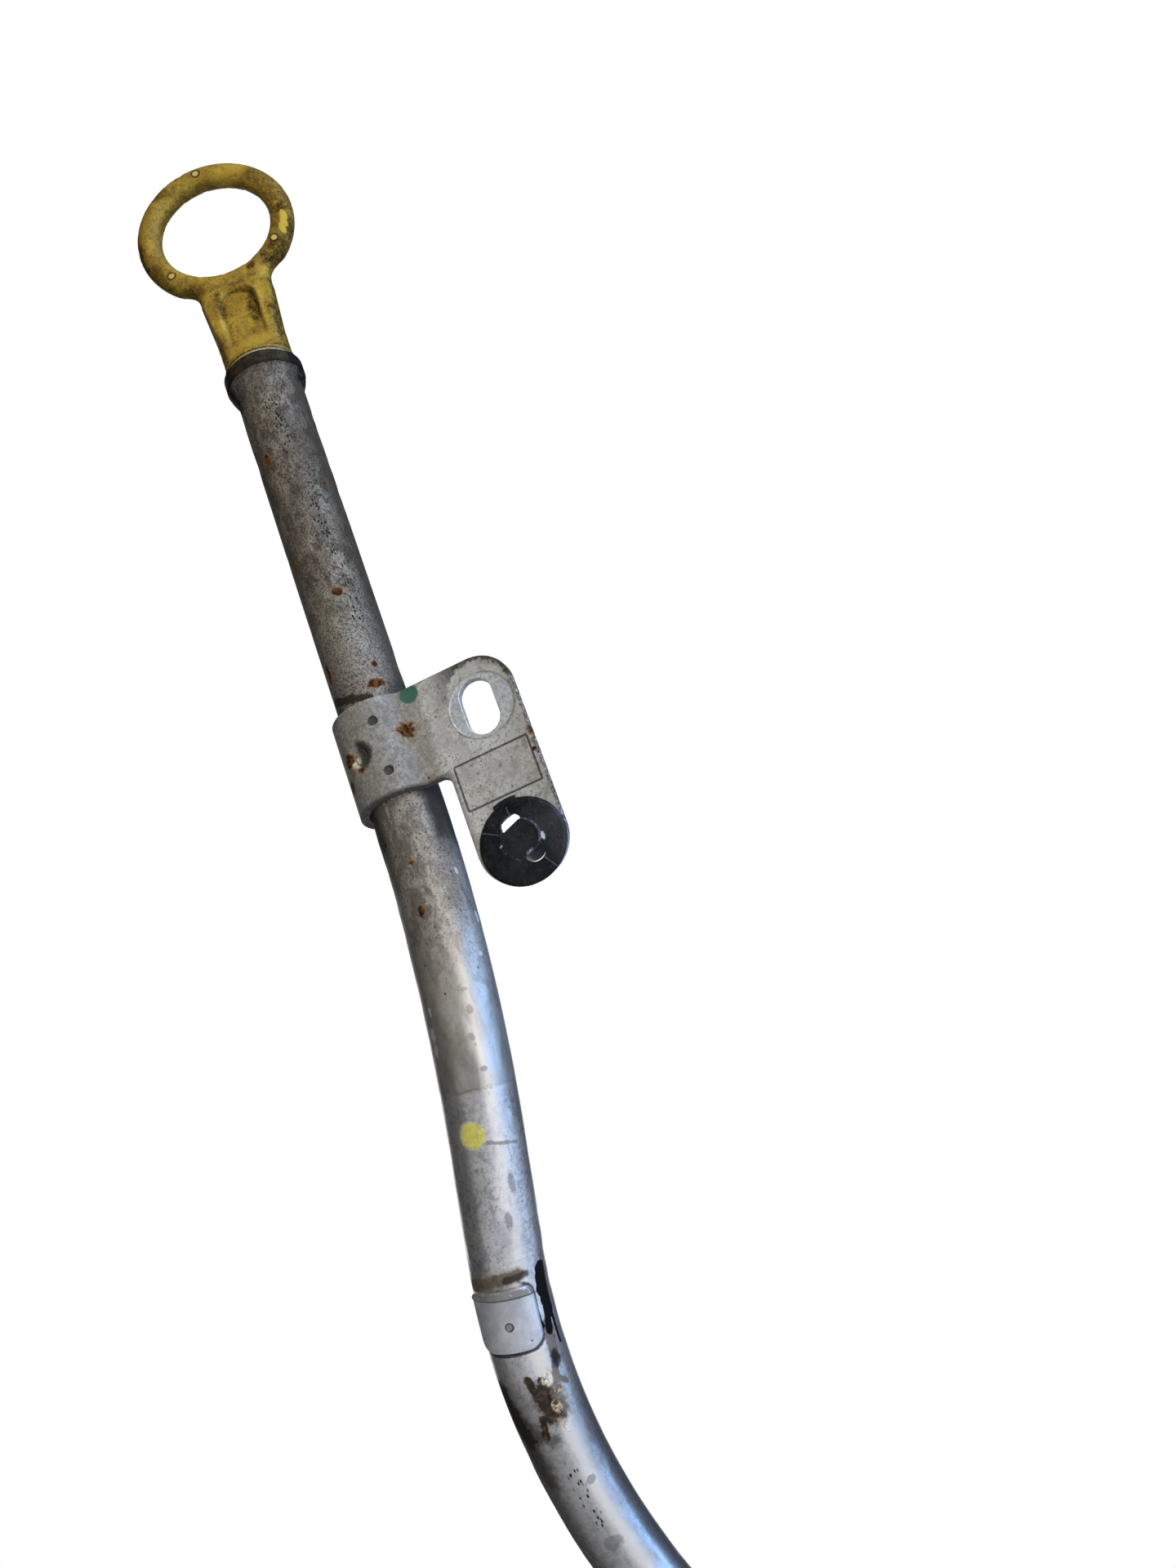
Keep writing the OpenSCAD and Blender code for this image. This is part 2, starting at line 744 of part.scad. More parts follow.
// Flat tip with a notch pair at each oil mark and cross grooves between them
module gauge_blade() {
    flat_top = -sleeve_len / 2 - 0.5;
    low = flat_top - blade_len + mark_end;
    color(rod_color) on_tube() to_foot() translate([0, 0, -foot_len - rod_reach]) {
        translate([0, 0, flat_top]) cylinder(d = rod_d, h = -flat_top);
        difference() {
            translate([0, blade_t / 2, 0]) rotate([90, 0, 0]) linear_extrude(blade_t) {
                translate([-blade_w / 2, flat_top - blade_len + blade_w / 2])
                    square([blade_w, blade_len - blade_w / 2]);
                translate([0, flat_top - blade_len + blade_w / 2]) circle(blade_w / 2);
            }
            for (z = [low, low + mark_span], side = [-1, 1])
                translate([side * blade_w / 2, blade_t, z]) rotate([90, 0, 0])
                    cylinder(d = 1.6, h = 2 * blade_t, $fn = 32);
            for (i = [1:5])
                translate([-blade_w, -blade_t / 2 - 0.3, low + mark_span * i / 6 - 0.2])
                    cube([2 * blade_w, 0.5, 0.4]);
        }
    }
}

guide_tube();
bracket();
saddle_pad();
push_clip();
foot_seal();
handle();
mouth_seal();
upper_plug_seal();
lower_plug_seal();
rod_ferrule();
gauge_rod();
blade_sleeve();
gauge_blade();
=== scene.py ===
"""Looks of the engine oil dipstick: fine shapes, aged materials, light and camera."""
import json
import math

import bmesh
import bpy
import numpy as np
from mathutils import Matrix, Vector, noise

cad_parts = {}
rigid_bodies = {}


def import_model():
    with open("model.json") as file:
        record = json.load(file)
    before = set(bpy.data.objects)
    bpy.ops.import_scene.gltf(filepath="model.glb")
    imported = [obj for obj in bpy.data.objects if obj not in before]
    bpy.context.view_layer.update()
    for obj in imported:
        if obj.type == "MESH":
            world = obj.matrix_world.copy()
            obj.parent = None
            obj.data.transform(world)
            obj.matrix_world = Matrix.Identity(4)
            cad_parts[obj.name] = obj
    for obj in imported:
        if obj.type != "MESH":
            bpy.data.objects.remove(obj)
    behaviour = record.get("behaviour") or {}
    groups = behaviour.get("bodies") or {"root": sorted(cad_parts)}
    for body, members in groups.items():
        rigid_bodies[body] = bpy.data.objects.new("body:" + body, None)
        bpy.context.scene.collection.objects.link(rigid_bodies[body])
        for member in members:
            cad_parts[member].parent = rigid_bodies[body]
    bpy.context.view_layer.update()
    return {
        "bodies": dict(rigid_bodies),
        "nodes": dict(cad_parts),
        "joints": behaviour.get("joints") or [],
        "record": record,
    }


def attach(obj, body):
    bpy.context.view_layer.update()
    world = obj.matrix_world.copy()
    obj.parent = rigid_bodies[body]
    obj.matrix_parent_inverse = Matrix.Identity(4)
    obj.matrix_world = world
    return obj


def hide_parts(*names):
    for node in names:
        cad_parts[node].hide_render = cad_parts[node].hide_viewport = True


MM = 0.001

# The guide tube's route, in millimetres, as in the CAD source
TUBE_X, TUBE_Y = -24.5, 6.5
MOUTH_Z = 103.0
TUBE_R = 8.0
BORE_R = 6.8
BEND_R = 150.0
STRAIGHT_1 = MOUTH_Z + 11.5
BEND_1 = (128.0, 27.0)
STRAIGHT_2 = 24.5
BEND_2 = (9.0, 32.0)
FOOT = 60.0
BEND_1_LEN = BEND_R * math.radians(BEND_1[1])
BEND_2_LEN = BEND_R * math.radians(BEND_2[1])
BEND_1_END = STRAIGHT_1 + BEND_1_LEN
BEND_2_START = BEND_1_END + STRAIGHT_2
FOOT_START = BEND_2_START + BEND_2_LEN
TUBE_LEN = FOOT_START + FOOT

# Places on the bracket and the handle, in millimetres, as in the CAD source
SEAT_R = 7.3
FRAME_W, FRAME_H = 17.4, 10.9
FRAME_X = 8.2 - 1.2 - FRAME_W / 2
FRAME_Z = -10.2 - FRAME_H / 2
CORNER_X, CORNER_Z = 0.2, 3.25
COLLAR_R, COLLAR_HALF = 10.1, 11.25
ROOT_ROUNDS, NECK_ROUNDS, NECK_REACH = 260, 160, 4.5
DIMPLE_R, DIMPLE_DEPTH = 3.5, 0.55
HANDLE_TURN = 11.0
FLANGE_TOP = MOUTH_Z + 6.0
RING_R = 17.0
RING_HALF = 2.85
RING_Z = FLANGE_TOP + 42.8
RING_DISCS = (90, -38, -142)
ARCH_HALF, ARCH_TOP = 4.25, FLANGE_TOP + 21.8


def on_collar(turn, z, depth=0.0):
    """Place on the collar's outside, turned from its front."""
    turn, r = math.radians(turn), COLLAR_R - depth
    return TUBE_X + r * math.sin(turn), TUBE_Y - r * math.cos(turn), z


DIMPLE = on_collar(-21, 0.0, 0.6)
CLIP_PLACE = (-1.3, 0.0, -31.7)
CLIP_LINES = ((146, 4.6, 9.6), (-58, 4.8, 9.4), (96, 5.0, 8.0))
CLIP_SCUFFS = (((0.9, -2.4, -35.2), (1.7, 2.0, 0.5)), ((-3.9, -2.4, -28.6), (0.5, 2.0, 0.4)),
               ((3.4, -2.2, -33.0), (0.4, 2.0, 0.9)), ((-5.6, -2.0, -31.6), (0.35, 2.0, 0.25)))
PAD_R = 8.75
PAD_LIP_EDGE = BEND_2_START + 5.6 + 1.7
PAD_PLACE, PAD_HALF, PAD_CORNER = (-0.4, 221.8, 0.0), (6.85, 6.55, 0.0), 2.4
PIPS = (on_collar(11, 6.0, 0.3), on_collar(11, -6.0, 0.3))


def bent(turn, angle):
    """Matrix along a bend of the given angle, towards a direction turned from +X."""
    turn, angle = math.radians(turn), math.radians(angle)
    spin = Matrix.Rotation(turn, 4, "Z")
    step = Matrix.Translation((BEND_R * (1 - math.cos(angle)), 0, -BEND_R * math.sin(angle)))
    return spin @ step @ Matrix.Rotation(-angle, 4, "Y") @ spin.inverted()


def route(along):
    """Frame on the tube's axis at a distance below the mouth, in millimetres. Its +Z runs back up."""
    frame = Matrix.Translation((TUBE_X, TUBE_Y, MOUTH_Z))
    if along <= STRAIGHT_1:
        return frame @ Matrix.Translation((0, 0, -along))
    frame = frame @ Matrix.Translation((0, 0, -STRAIGHT_1))
    part = min(along - STRAIGHT_1, BEND_1_LEN)
    frame = frame @ bent(BEND_1[0], math.degrees(part / BEND_R))
    if along <= BEND_1_END:
        return frame
    frame = frame @ Matrix.Translation((0, 0, -min(along - BEND_1_END, STRAIGHT_2)))
    if along <= BEND_2_START:
        return frame
    part = min(along - BEND_2_START, BEND_2_LEN)
    frame = frame @ bent(BEND_2[0], math.degrees(part / BEND_R))
    return frame @ Matrix.Translation((0, 0, -max(0.0, along - FOOT_START)))


def on_pad(turn, along):
    """Place on the saddle pad's outside and the direction back up the tube there."""
    frame, turn = route(along), math.radians(turn - 90)
    place = frame @ Vector((PAD_R * math.cos(turn), PAD_R * math.sin(turn), 0))
    return tuple(place), tuple(frame.to_3x3() @ Vector((0, 0, 1)))


def new_object(name, verts, faces, smooth=True):
    """A mesh object from points in metres."""
    mesh = bpy.data.meshes.new(name)
    mesh.from_pydata(verts, [], faces)
    mesh.update()
    mesh.polygons.foreach_set("use_smooth", [smooth] * len(mesh.polygons))
    obj = bpy.data.objects.new(name, mesh)
    bpy.context.scene.collection.objects.link(obj)
    return obj


def lathe_along(name, profile, segments=160):
    """Rings round the route through (along, radius) points. Its UV map holds millimetres round and along."""
    verts, faces, uvs = [], [], []
    for along, radius in profile:
        frame = route(along)
        for i in range(segments):
            turn = math.radians(90 + 360 * i / segments)
            way = Vector((math.cos(turn), math.sin(turn), 0))
            dent = noise.fractal(way * 1.3 + Vector((0, 0, along / 9)), 0.9, 2.0, 3)
            dent = 0.22 * max(0.0, dent) if TUBE_R - 0.01 < radius < TUBE_R + 0.04 else 0.0
            verts.append(frame @ (way * (radius - dent)) * MM)
    for row in range(len(profile)):
        after = (row + 1) % len(profile)
        for i in range(segments):
            j = (i + 1) % segments
            faces.append((row * segments + i, after * segments + i,
                          after * segments + j, row * segments + j))
            left = (i / segments - 0.5) * 2 * math.pi * TUBE_R
            right = ((i + 1) / segments - 0.5) * 2 * math.pi * TUBE_R
            a0, a1 = profile[row][0], profile[after][0]
            uvs += [left, a0, left, a1, right, a1, right, a0]
    obj = new_object(name, verts, faces)
    layer = obj.data.uv_layers.new(name="wrap")
    layer.data.foreach_set("uv", uvs)
    return obj


def smooth_step(t):
    t = max(0.0, min(1.0, t))
    return t * t * (3 - 2 * t)


def tube_profile():
    """Outline of the tube's wall: down the outside with its flare, bead and groove, and up the bore."""
    flare_h, flare = 4.5, 1.3
    bead_start = TUBE_LEN - 22 - 2.4

    def outside(along):
        radius = TUBE_R + flare * smooth_step(1 - along / flare_h)
        for mark in (STRAIGHT_1, BEND_1_END, BEND_2_START, FOOT_START):
            radius += 0.03 * max(0.0, 1 - abs(along - mark) / 0.35)
        if bead_start <= along <= bead_start + 2.4:
            across = (along - bead_start - 1.2) / 1.2
            radius = max(radius, TUBE_R + 0.8 + 1.2 * math.sqrt(max(0.0, 1 - across * across)))
        return radius

    stops = [0.25 * i for i in range(1, 20)]
    stops += [5 + 1.25 * i for i in range(int((bead_start - 6) / 1.25) + 1)]
    for mark in (STRAIGHT_1, BEND_1_END, BEND_2_START, FOOT_START):
        stops += [mark - 0.4, mark - 0.2, mark, mark + 0.2, mark + 0.4]
    stops = [s for s in stops if s < bead_start - 0.3]
    stops += [bead_start - 0.01] + [bead_start + 2.4 * i / 10 for i in range(11)]
    outer = [(0.25, TUBE_R + flare - 0.25 * 0.3)] + [(s, outside(s)) for s in sorted(set(stops))]
    groove = bead_start + 2.4
    outer += [(groove + 0.01, TUBE_R - 0.4), (groove + 0.1, TUBE_R - 0.5),
              (groove + 2.9, TUBE_R - 0.5), (groove + 2.98, TUBE_R - 0.42),
              (groove + 3.05, TUBE_R)]
    outer += [(groove + 3.05 + 1.2 * i, TUBE_R) for i in range(1, 14)]
    outer += [(TUBE_LEN - 0.7, TUBE_R), (TUBE_LEN - 0.55, TUBE_R - 0.05),
              (TUBE_LEN - 0.05, TUBE_R - 0.55), (TUBE_LEN, TUBE_R - 0.65),
              (TUBE_LEN, BORE_R + 0.1), (TUBE_LEN - 0.1, BORE_R)]
    inner = [(TUBE_LEN - 0.5 - 3 * i, BORE_R) for i in range(int((TUBE_LEN - 6) / 3))]
    inner += [(4.5, BORE_R)]
    inner += [(4.5 * (1 - i / 8), BORE_R + flare * smooth_step(i / 8)) for i in range(1, 8)]
    inner += [(0.03, BORE_R + flare - 0.03), (0.0, BORE_R + flare + 0.1),
              (0.0, TUBE_R + flare - 0.25), (0.07, TUBE_R + flare - 0.09)]
    return outer + inner


class Nodes:
    """A material's node tree with short calls for the nodes used here. Lengths are in millimetres."""

    def __init__(self, name):
        self.material = bpy.data.materials.new(name)
        self.material.use_nodes = True
        self.tree = self.material.node_tree
        self.shader = self.tree.nodes["Principled BSDF"]
        self._point = None

    def node(self, kind, inputs=None, **settings):
        made = self.tree.nodes.new(kind)
        for key, value in settings.items():
            setattr(made, key, value)
        for key, value in (inputs or {}).items():
            self.put(made.inputs[key], value)
        return made

    def put(self, socket, value):
        if isinstance(value, bpy.types.NodeSocket):
            self.tree.links.new(value, socket)
        elif isinstance(value, (tuple, list, Vector)) and socket.type == "RGBA":
            socket.default_value = tuple(value) + (1.0,) * (4 - len(value))
        else:
            socket.default_value = value

    def point(self):
        """Place on the object in the row frame."""
        if self._point is None:
            place = self.node("ShaderNodeTexCoord").outputs["Object"]
            self._point = self.scaled(place, 1 / MM)
        return self._point

    def scaled(self, vector, factor):
        made = self.node("ShaderNodeVectorMath", operation="SCALE")
        self.put(made.inputs[0], vector)
        self.put(made.inputs["Scale"], factor)
        return made.outputs["Vector"]

    def parts(self, vector):
        made = self.node("ShaderNodeSeparateXYZ", {"Vector": vector})
        return [made.outputs[axis] for axis in "XYZ"]

    def math(self, operation, a, b=0.0, clamp=False):
        made = self.node("ShaderNodeMath", operation=operation, use_clamp=clamp)
        self.put(made.inputs[0], a)
        self.put(made.inputs[1], b)
        return made.outputs[0]

    def times(self, *values):
        out = values[0]
        for value in values[1:]:
            out = self.math("MULTIPLY", out, value)
        return out

    def most(self, *masks):
        """Largest of several masks."""
        out = masks[0]
        for mask in masks[1:]:
            out = self.math("MAXIMUM", out, mask)
        return out

    def shaken(self, value, noise, amount):
        """Value moved up and down by a noise."""
        return self.math("ADD", value, self.times(self.math("SUBTRACT", noise, 0.5), amount))

    def vector(self, operation, a, b=(0, 0, 0)):
        made = self.node("ShaderNodeVectorMath", operation=operation)
        self.put(made.inputs[0], a)
        self.put(made.inputs[1], b)
        single = operation in ("LENGTH", "DISTANCE", "DOT_PRODUCT")
        return made.outputs["Value" if single else "Vector"]

    def noise(self, size, detail=4.0, roughness=0.55, at=None, distortion=0.0):
        """Fractal noise from 0 to 1 whose coarsest blobs are about as wide as size."""
        made = self.node("ShaderNodeTexNoise", {
            "Vector": at if at is not None else self.point(), "Scale": 1 / size,
            "Detail": detail, "Roughness": roughness, "Distortion": distortion})
        return made.outputs["Fac"]

    def flecks(self, cell, share, size, at=None):
        """1 on small dots: a share of the cells hold one, size is its part of a cell's width."""
        cells = self.node("ShaderNodeTexVoronoi", {
            "Vector": at if at is not None else self.point(), "Scale": 1 / cell})
        tone = self.node("ShaderNodeSeparateColor", {"Color": cells.outputs["Color"]}).outputs["Red"]
        dot = self.ramp(cells.outputs["Distance"], size * 1.3, size * 0.7)
        return self.times(self.math("LESS_THAN", tone, share), dot)

    def ramp(self, value, low, high, start=0.0, end=1.0):
        """Value brought from low..high to start..end, smooth at both ends."""
        made = self.node("ShaderNodeMapRange", {"Value": value, "From Min": low, "From Max": high,
                                                "To Min": start, "To Max": end},
                         interpolation_type="SMOOTHSTEP")
        return made.outputs["Result"]

    def band(self, value, low, high, edge):
        """1 between low and high, falling off over edge at both ends."""
        return self.times(self.ramp(value, low - edge / 2, low + edge / 2),
                          self.ramp(value, high + edge / 2, high - edge / 2))

    def mix(self, factor, a, b):
        made = self.node("ShaderNodeMix", data_type="RGBA")
        self.put(made.inputs["Factor"], factor)
        self.put(made.inputs[6], a)
        self.put(made.inputs[7], b)
        return made.outputs[2]

    def blend(self, factor, a, b):
        made = self.node("ShaderNodeMix", data_type="FLOAT")
        self.put(made.inputs["Factor"], factor)
        self.put(made.inputs[2], a)
        self.put(made.inputs[3], b)
        return made.outputs[0]

    def spot(self, centre, radius, edge=0.35, ragged=None, amount=1.4):
        """1 inside a ball about a place, 0 outside, with a ragged rim. The radius may be one per axis."""
        away = self.vector("SUBTRACT", self.point(), tuple(centre))
        sizes = radius if isinstance(radius, tuple) else (radius,) * 3
        far = self.vector("LENGTH", self.vector("DIVIDE", away, sizes))
        if ragged is not None:
            far = self.shaken(far, ragged, amount)
        return self.ramp(far, 1 + edge / 2, 1 - edge / 2)

    def oval(self, at, centre, size, ragged=None, edge=0.4, amount=1.2):
        """Oval mark on an unrolled surface; size is its half width and half length."""
        away = self.vector("SUBTRACT", at, (*centre, 0))
        far = self.vector("LENGTH", self.vector("DIVIDE", away, (*size, 1)))
        if ragged is not None:
            far = self.shaken(far, ragged, amount)
        return self.ramp(far, 1 + edge / 2, 1 - edge / 2)

    def stroke(self, at, start, end, width, ragged=None, edge=0.3, amount=1.0):
        """Round-ended stroke on an unrolled surface; width is its half width."""
        dx, dy = end[0] - start[0], end[1] - start[1]
        away = self.vector("SUBTRACT", at, (*start, 0))
        share = self.math("DIVIDE", self.vector("DOT_PRODUCT", away, (dx, dy, 0)), dx * dx + dy * dy,
                          clamp=True)
        far = self.math("DIVIDE", self.vector("DISTANCE", away, self.scaled((dx, dy, 0), share)), width)
        if ragged is not None:
            far = self.shaken(far, ragged, amount)
        return self.ramp(far, 1 + edge / 2, 1 - edge / 2)

    def beyond(self, at, centre, half, corner=0.0):
        """Distance outside a rectangle with round corners, 0 inside it. The unused axis has a half size of 0."""
        away = self.vector("ABSOLUTE", self.vector("SUBTRACT", at, centre))
        inner = tuple(h - corner if h else 0 for h in half)
        out = self.vector("MAXIMUM", self.vector("SUBTRACT", away, inner), (0, 0, 0))
        return self.math("SUBTRACT", self.vector("LENGTH", out), corner)

    def bump(self, height, distance, strength=1.0):
        return self.node("ShaderNodeBump", {"Height": height, "Distance": distance * MM,
                                            "Strength": strength}).outputs["Normal"]

    def set(self, **values):
        names = {"color": "Base Color", "metal": "Metallic", "rough": "Roughness", "normal": "Normal",
                 "specular": "Specular IOR Level"}
        for key, value in values.items():
            self.put(self.shader.inputs[names[key]], value)
        return self.material


def srgb(r, g, b):
    """Linear colour from 0..255 display values."""
    def one(c):
        c /= 255
        return c / 12.92 if c <= 0.04045 else ((c + 0.055) / 1.055) ** 2.4
    return one(r), one(g), one(b), 1.0


RUST = srgb(100, 58, 20)
RUST_DARK = srgb(38, 22, 13)
RUST_STAIN = srgb(128, 100, 52)
GRIME = srgb(52, 45, 36)
OIL_BLACK = srgb(9, 8, 9)
OIL_BROWN = srgb(58, 38, 22)


def rusted(n, color, spots, ragged, fine):
    """Adds rust spots, each a dark brown core in a yellow-brown stain; makes a colour and the cores' mask."""
    cores = n.most(*[core for core, stain in spots])
    stains = n.most(*[stain for core, stain in spots])
    color = n.mix(n.times(stains, n.ramp(fine, 0.4, 0.6), 0.6), color, RUST_STAIN)
    return n.mix(cores, color, n.mix(n.ramp(fine, 0.4, 0.56), RUST, RUST_DARK)), cores


def tube_material():
    """Coated steel: dirty and dull at the top, cleaner and satin below, with oil, rust and paint marks, painted shade
    on its flanks and a painted highlight down its front.
    """
    n = Nodes("guide_tube_steel")
    uv = n.node("ShaderNodeUVMap", uv_map="wrap").outputs["UV"]
    around, along, _ = n.parts(uv)
    drawn = n.vector("MULTIPLY", uv, (1, 0.3, 1))
    blobs = n.noise(8, 6, 0.62)
    streaks = n.noise(5, 6, 0.62, at=drawn, distortion=0.5)
    fine = n.noise(1.1, 5, 0.68)
    mottle = n.noise(2.6, 6, 0.7, at=n.vector("MULTIPLY", uv, (1, 0.6, 1)), distortion=0.8)
    grain = n.noise(0.45, 4, 0.75)
    ragged = n.noise(1.6, 5, 0.65)
    pits = n.flecks(0.7, 0.4, 0.32)
    pores = n.flecks(1.9, 0.2, 0.15)

    upper = n.ramp(n.shaken(n.shaken(along, blobs, 40), streaks, 26), 146, 96)
    dusty = n.ramp(n.shaken(along, blobs, 20), 172, 128)
    low = n.ramp(along, 228, 248)
    wiped = n.ramp(n.shaken(along, fine, 2.2), 174.2, 175.2)

    clean = n.mix(n.ramp(streaks, 0.24, 0.7), srgb(186, 183, 180), srgb(230, 225, 219))
    clean = n.mix(n.times(low, 0.75), clean, srgb(162, 156, 149))
    clean = n.mix(n.times(n.ramp(mottle, 0.54, 0.66), 0.4), clean, srgb(134, 132, 128))
    clean = n.mix(n.times(n.ramp(fine, 0.47, 0.6), n.ramp(blobs, 0.32, 0.58), 0.6), clean, srgb(140, 139, 138))
    clean = n.mix(n.times(n.ramp(grain, 0.52, 0.6), n.ramp(mottle, 0.44, 0.6), 0.6), clean, srgb(112, 110, 108))
    film = n.mix(n.ramp(streaks, 0.24, 0.7), srgb(138, 133, 124), srgb(182, 176, 166))
    film = n.mix(n.times(dusty, 0.7), film, srgb(132, 126, 115))
    film = n.mix(n.times(n.ramp(mottle, 0.46, 0.62), n.blend(dusty, 0.22, 0.8)), film, srgb(104, 98, 87))
    film = n.mix(n.times(n.ramp(grain, 0.5, 0.6), n.times(dusty, 0.6)), film, srgb(84, 76, 65))
    dull = n.mix(n.ramp(streaks, 0.3, 0.66), srgb(92, 84, 74), srgb(138, 130, 115))
    dull = n.mix(n.times(n.ramp(blobs, 0.46, 0.62), 0.7), dull, srgb(96, 88, 76))
    dull = n.mix(n.times(n.ramp(blobs, 0.5, 0.36), n.ramp(fine, 0.42, 0.54), 0.7), dull, srgb(146, 136, 117))
    dull = n.mix(n.times(n.ramp(mottle, 0.46, 0.6), 0.75), dull, srgb(64, 58, 50))
    dull = n.mix(n.times(n.ramp(along, 56, 80), 0.5), dull, srgb(150, 145, 134))
    dull = n.mix(n.times(n.ramp(grain, 0.47, 0.57), 0.72), dull, srgb(40, 34, 27))
    color = n.mix(upper, n.mix(wiped, film, clean), dull)

    speckled = n.most(n.times(upper, n.ramp(mottle, 0.42, 0.58)),
                      n.times(n.band(along, 98, 146, 14), n.ramp(blobs, 0.36, 0.5)))
    color = n.mix(n.times(pits, speckled, 0.85), color, srgb(30, 26, 22))
    color = n.mix(n.times(pores, n.ramp(along, 210, 150, 0.35, 0.8)), color, srgb(66, 60, 53))

    # Painted shade: the left side darkened, more so on the lowest part.
    left = n.times(n.ramp(around, 3.0, -7.0), n.ramp(streaks, 0.15, 0.45))
    color = n.mix(n.times(left, n.blend(low, 0.48, 0.75)), color, n.mix(wiped, srgb(62, 58, 53), srgb(66, 67, 70)))
    # Painted highlight: a warm bright band just right of the front, lower down the tube.
    painted_highlight = n.times(n.band(n.shaken(around, streaks, 3), 3.5, 6.5, 2.5), n.ramp(along, 140, 178))
    color = n.mix(n.times(painted_highlight, 0.6), color, srgb(250, 240, 226))
    # Painted shade: the upper tube's right side darkened towards brown.
    right = n.times(n.ramp(n.shaken(around, mottle, 3), 4, 11), n.ramp(along, 128, 108))
    color = n.mix(n.times(right, 0.85), color, srgb(48, 38, 24))
    # Painted shade: the right flank by the bracket darkened to blue-grey.
    painted_right_shade = n.times(n.ramp(around, 7.5, 13), n.ramp(along, 104, 124), n.blend(low, 0.45, 0.7))
    color = n.mix(painted_right_shade, color, srgb(66, 74, 88))
    # The flanks by and below the bracket darkened: painted shade, with dirt there too.
    under = n.band(n.shaken(along, blobs, 12), 88, 127, 10)
    sides = n.most(n.ramp(n.shaken(around, mottle, 2), 5.0, 8), n.ramp(around, -2.5, -6.0))
    color = n.mix(n.times(under, sides, 0.92), color, srgb(40, 38, 35))
    cloud = n.times(n.oval(uv, (-2.0, 128.0), (6.5, 17.0), ragged, 0.9, 1.6), n.ramp(mottle, 0.4, 0.54))
    color = n.mix(n.times(cloud, 0.65), color, srgb(78, 70, 59))
    # Painted shade: the lowest part's left side darkened.
    low_left_shade = n.times(n.ramp(n.shaken(around, ragged, 3), 0.5, -4.5), n.ramp(n.shaken(along, blobs, 12), 230, 246))
    color = n.mix(n.times(low_left_shade, n.ramp(fine, 0.3, 0.6, 0.55, 0.9)), color, srgb(66, 62, 55))
    # The flared mouth's flanks darkened nearly to black: soot and painted shade; the thin band just under the seal is
    # dirt.
    left_rim_soot_and_shade = n.times(n.ramp(around, -5.6, -7.6), n.ramp(n.shaken(along, ragged, 5), 8, 6.5))
    right_rim_soot_and_shade = n.times(n.ramp(around, 10.4, 12), n.ramp(n.shaken(along, ragged, 3), 4.5, 3))
    rim_soot_and_shade = n.most(left_rim_soot_and_shade, right_rim_soot_and_shade)
    rim_dirt = n.times(n.ramp(n.shaken(along, mottle, 2.4), 1.6, 0.4), 0.45)
    color = n.mix(n.most(rim_soot_and_shade, rim_dirt), color, n.mix(n.ramp(ragged, 0.5, 0.6), srgb(12, 10, 8),
                                                      srgb(52, 44, 34)))

    dashes = n.flecks(0.62, 0.6, 0.34, at=n.vector("MULTIPLY", uv, (1, 0.5, 1)))
    scuffed = n.most(n.stroke(uv, (6.0, 31.5), (4.0, 43.5), 1.6, ragged, 0.9, 1.4),
                     n.stroke(uv, (6.8, 61.5), (5.2, 71.0), 1.8, ragged, 0.9, 1.4),
                     n.stroke(uv, (2.2, 10.0), (2.8, 24.0), 1.8, ragged, 1.0, 1.6),
                     n.stroke(uv, (4.5, 44.0), (5.5, 62.0), 1.2, ragged, 1.0, 1.8),
                     n.stroke(uv, (2.2, 256.0), (1.7, 268.0), 1.3, ragged, 0.9, 1.4))
    color = n.mix(n.times(dashes, scuffed), color, srgb(22, 20, 17))

    blotches = n.most(*[n.oval(uv, place, size, ragged, 0.5, 1.8) for place, size in (
        ((6.3, 194.0), (0.8, 2.2)), ((4.3, 201.6), (0.8, 1.8)), ((4.7, 258.8), (1.1, 0.9)),
        ((2.1, 272.4), (2.0, 1.6)), ((4.2, 159.2), (0.8, 0.9)), ((3.4, 164.4), (0.7, 0.8)),
        ((-1.7, 149.6), (0.5, 0.9)), ((4.5, 170.8), (0.7, 0.5)), ((3.8, 155.2), (0.8, 0.4)),
        ((-0.8, 190.5), (0.5, 0.5)), ((1.2, 224.0), (0.4, 0.4)), ((-4.2, 198.0), (0.5, 0.9)))])
    color = n.mix(n.times(blotches, 0.6), color, srgb(112, 110, 108))
    pale = n.most(*[n.oval(uv, place, size, ragged, 0.4, 2.2) for place, size in (
        ((9.2, 132.0), (0.5, 0.8)), ((12.3, 141.6), (0.6, 1.4)), ((9.8, 149.2), (0.7, 0.5)),
        ((-5.9, 162.8), (0.8, 1.6)), ((-5.9, 166.0), (0.7, 1.2)), ((-5.2, 158.0), (0.5, 1.0)),
        ((5.2, 197.6), (0.5, 1.2)))])
    color = n.mix(n.times(pale, 0.6), color, srgb(206, 205, 202))

    edge_line = n.times(n.band(n.shaken(along, ragged, 2.0), 174.3, 174.7, 0.35),
                        n.ramp(fine, 0.4, 0.55))
    seam = n.times(n.stroke(uv, (2.4, 184.9), (9.0, 186.3), 0.35, ragged, 0.9, 2.4), 0.6)
    collar_dirt = n.times(n.stroke(uv, (-7.0, 87.2), (2.2, 90.6), 1.0, ragged, 0.8, 2.2), 0.9)
    color = n.mix(n.times(edge_line, 0.55), color, srgb(104, 96, 84))
    color = n.mix(seam, color, srgb(112, 94, 78))
    color = n.mix(collar_dirt, color, srgb(40, 29, 20))

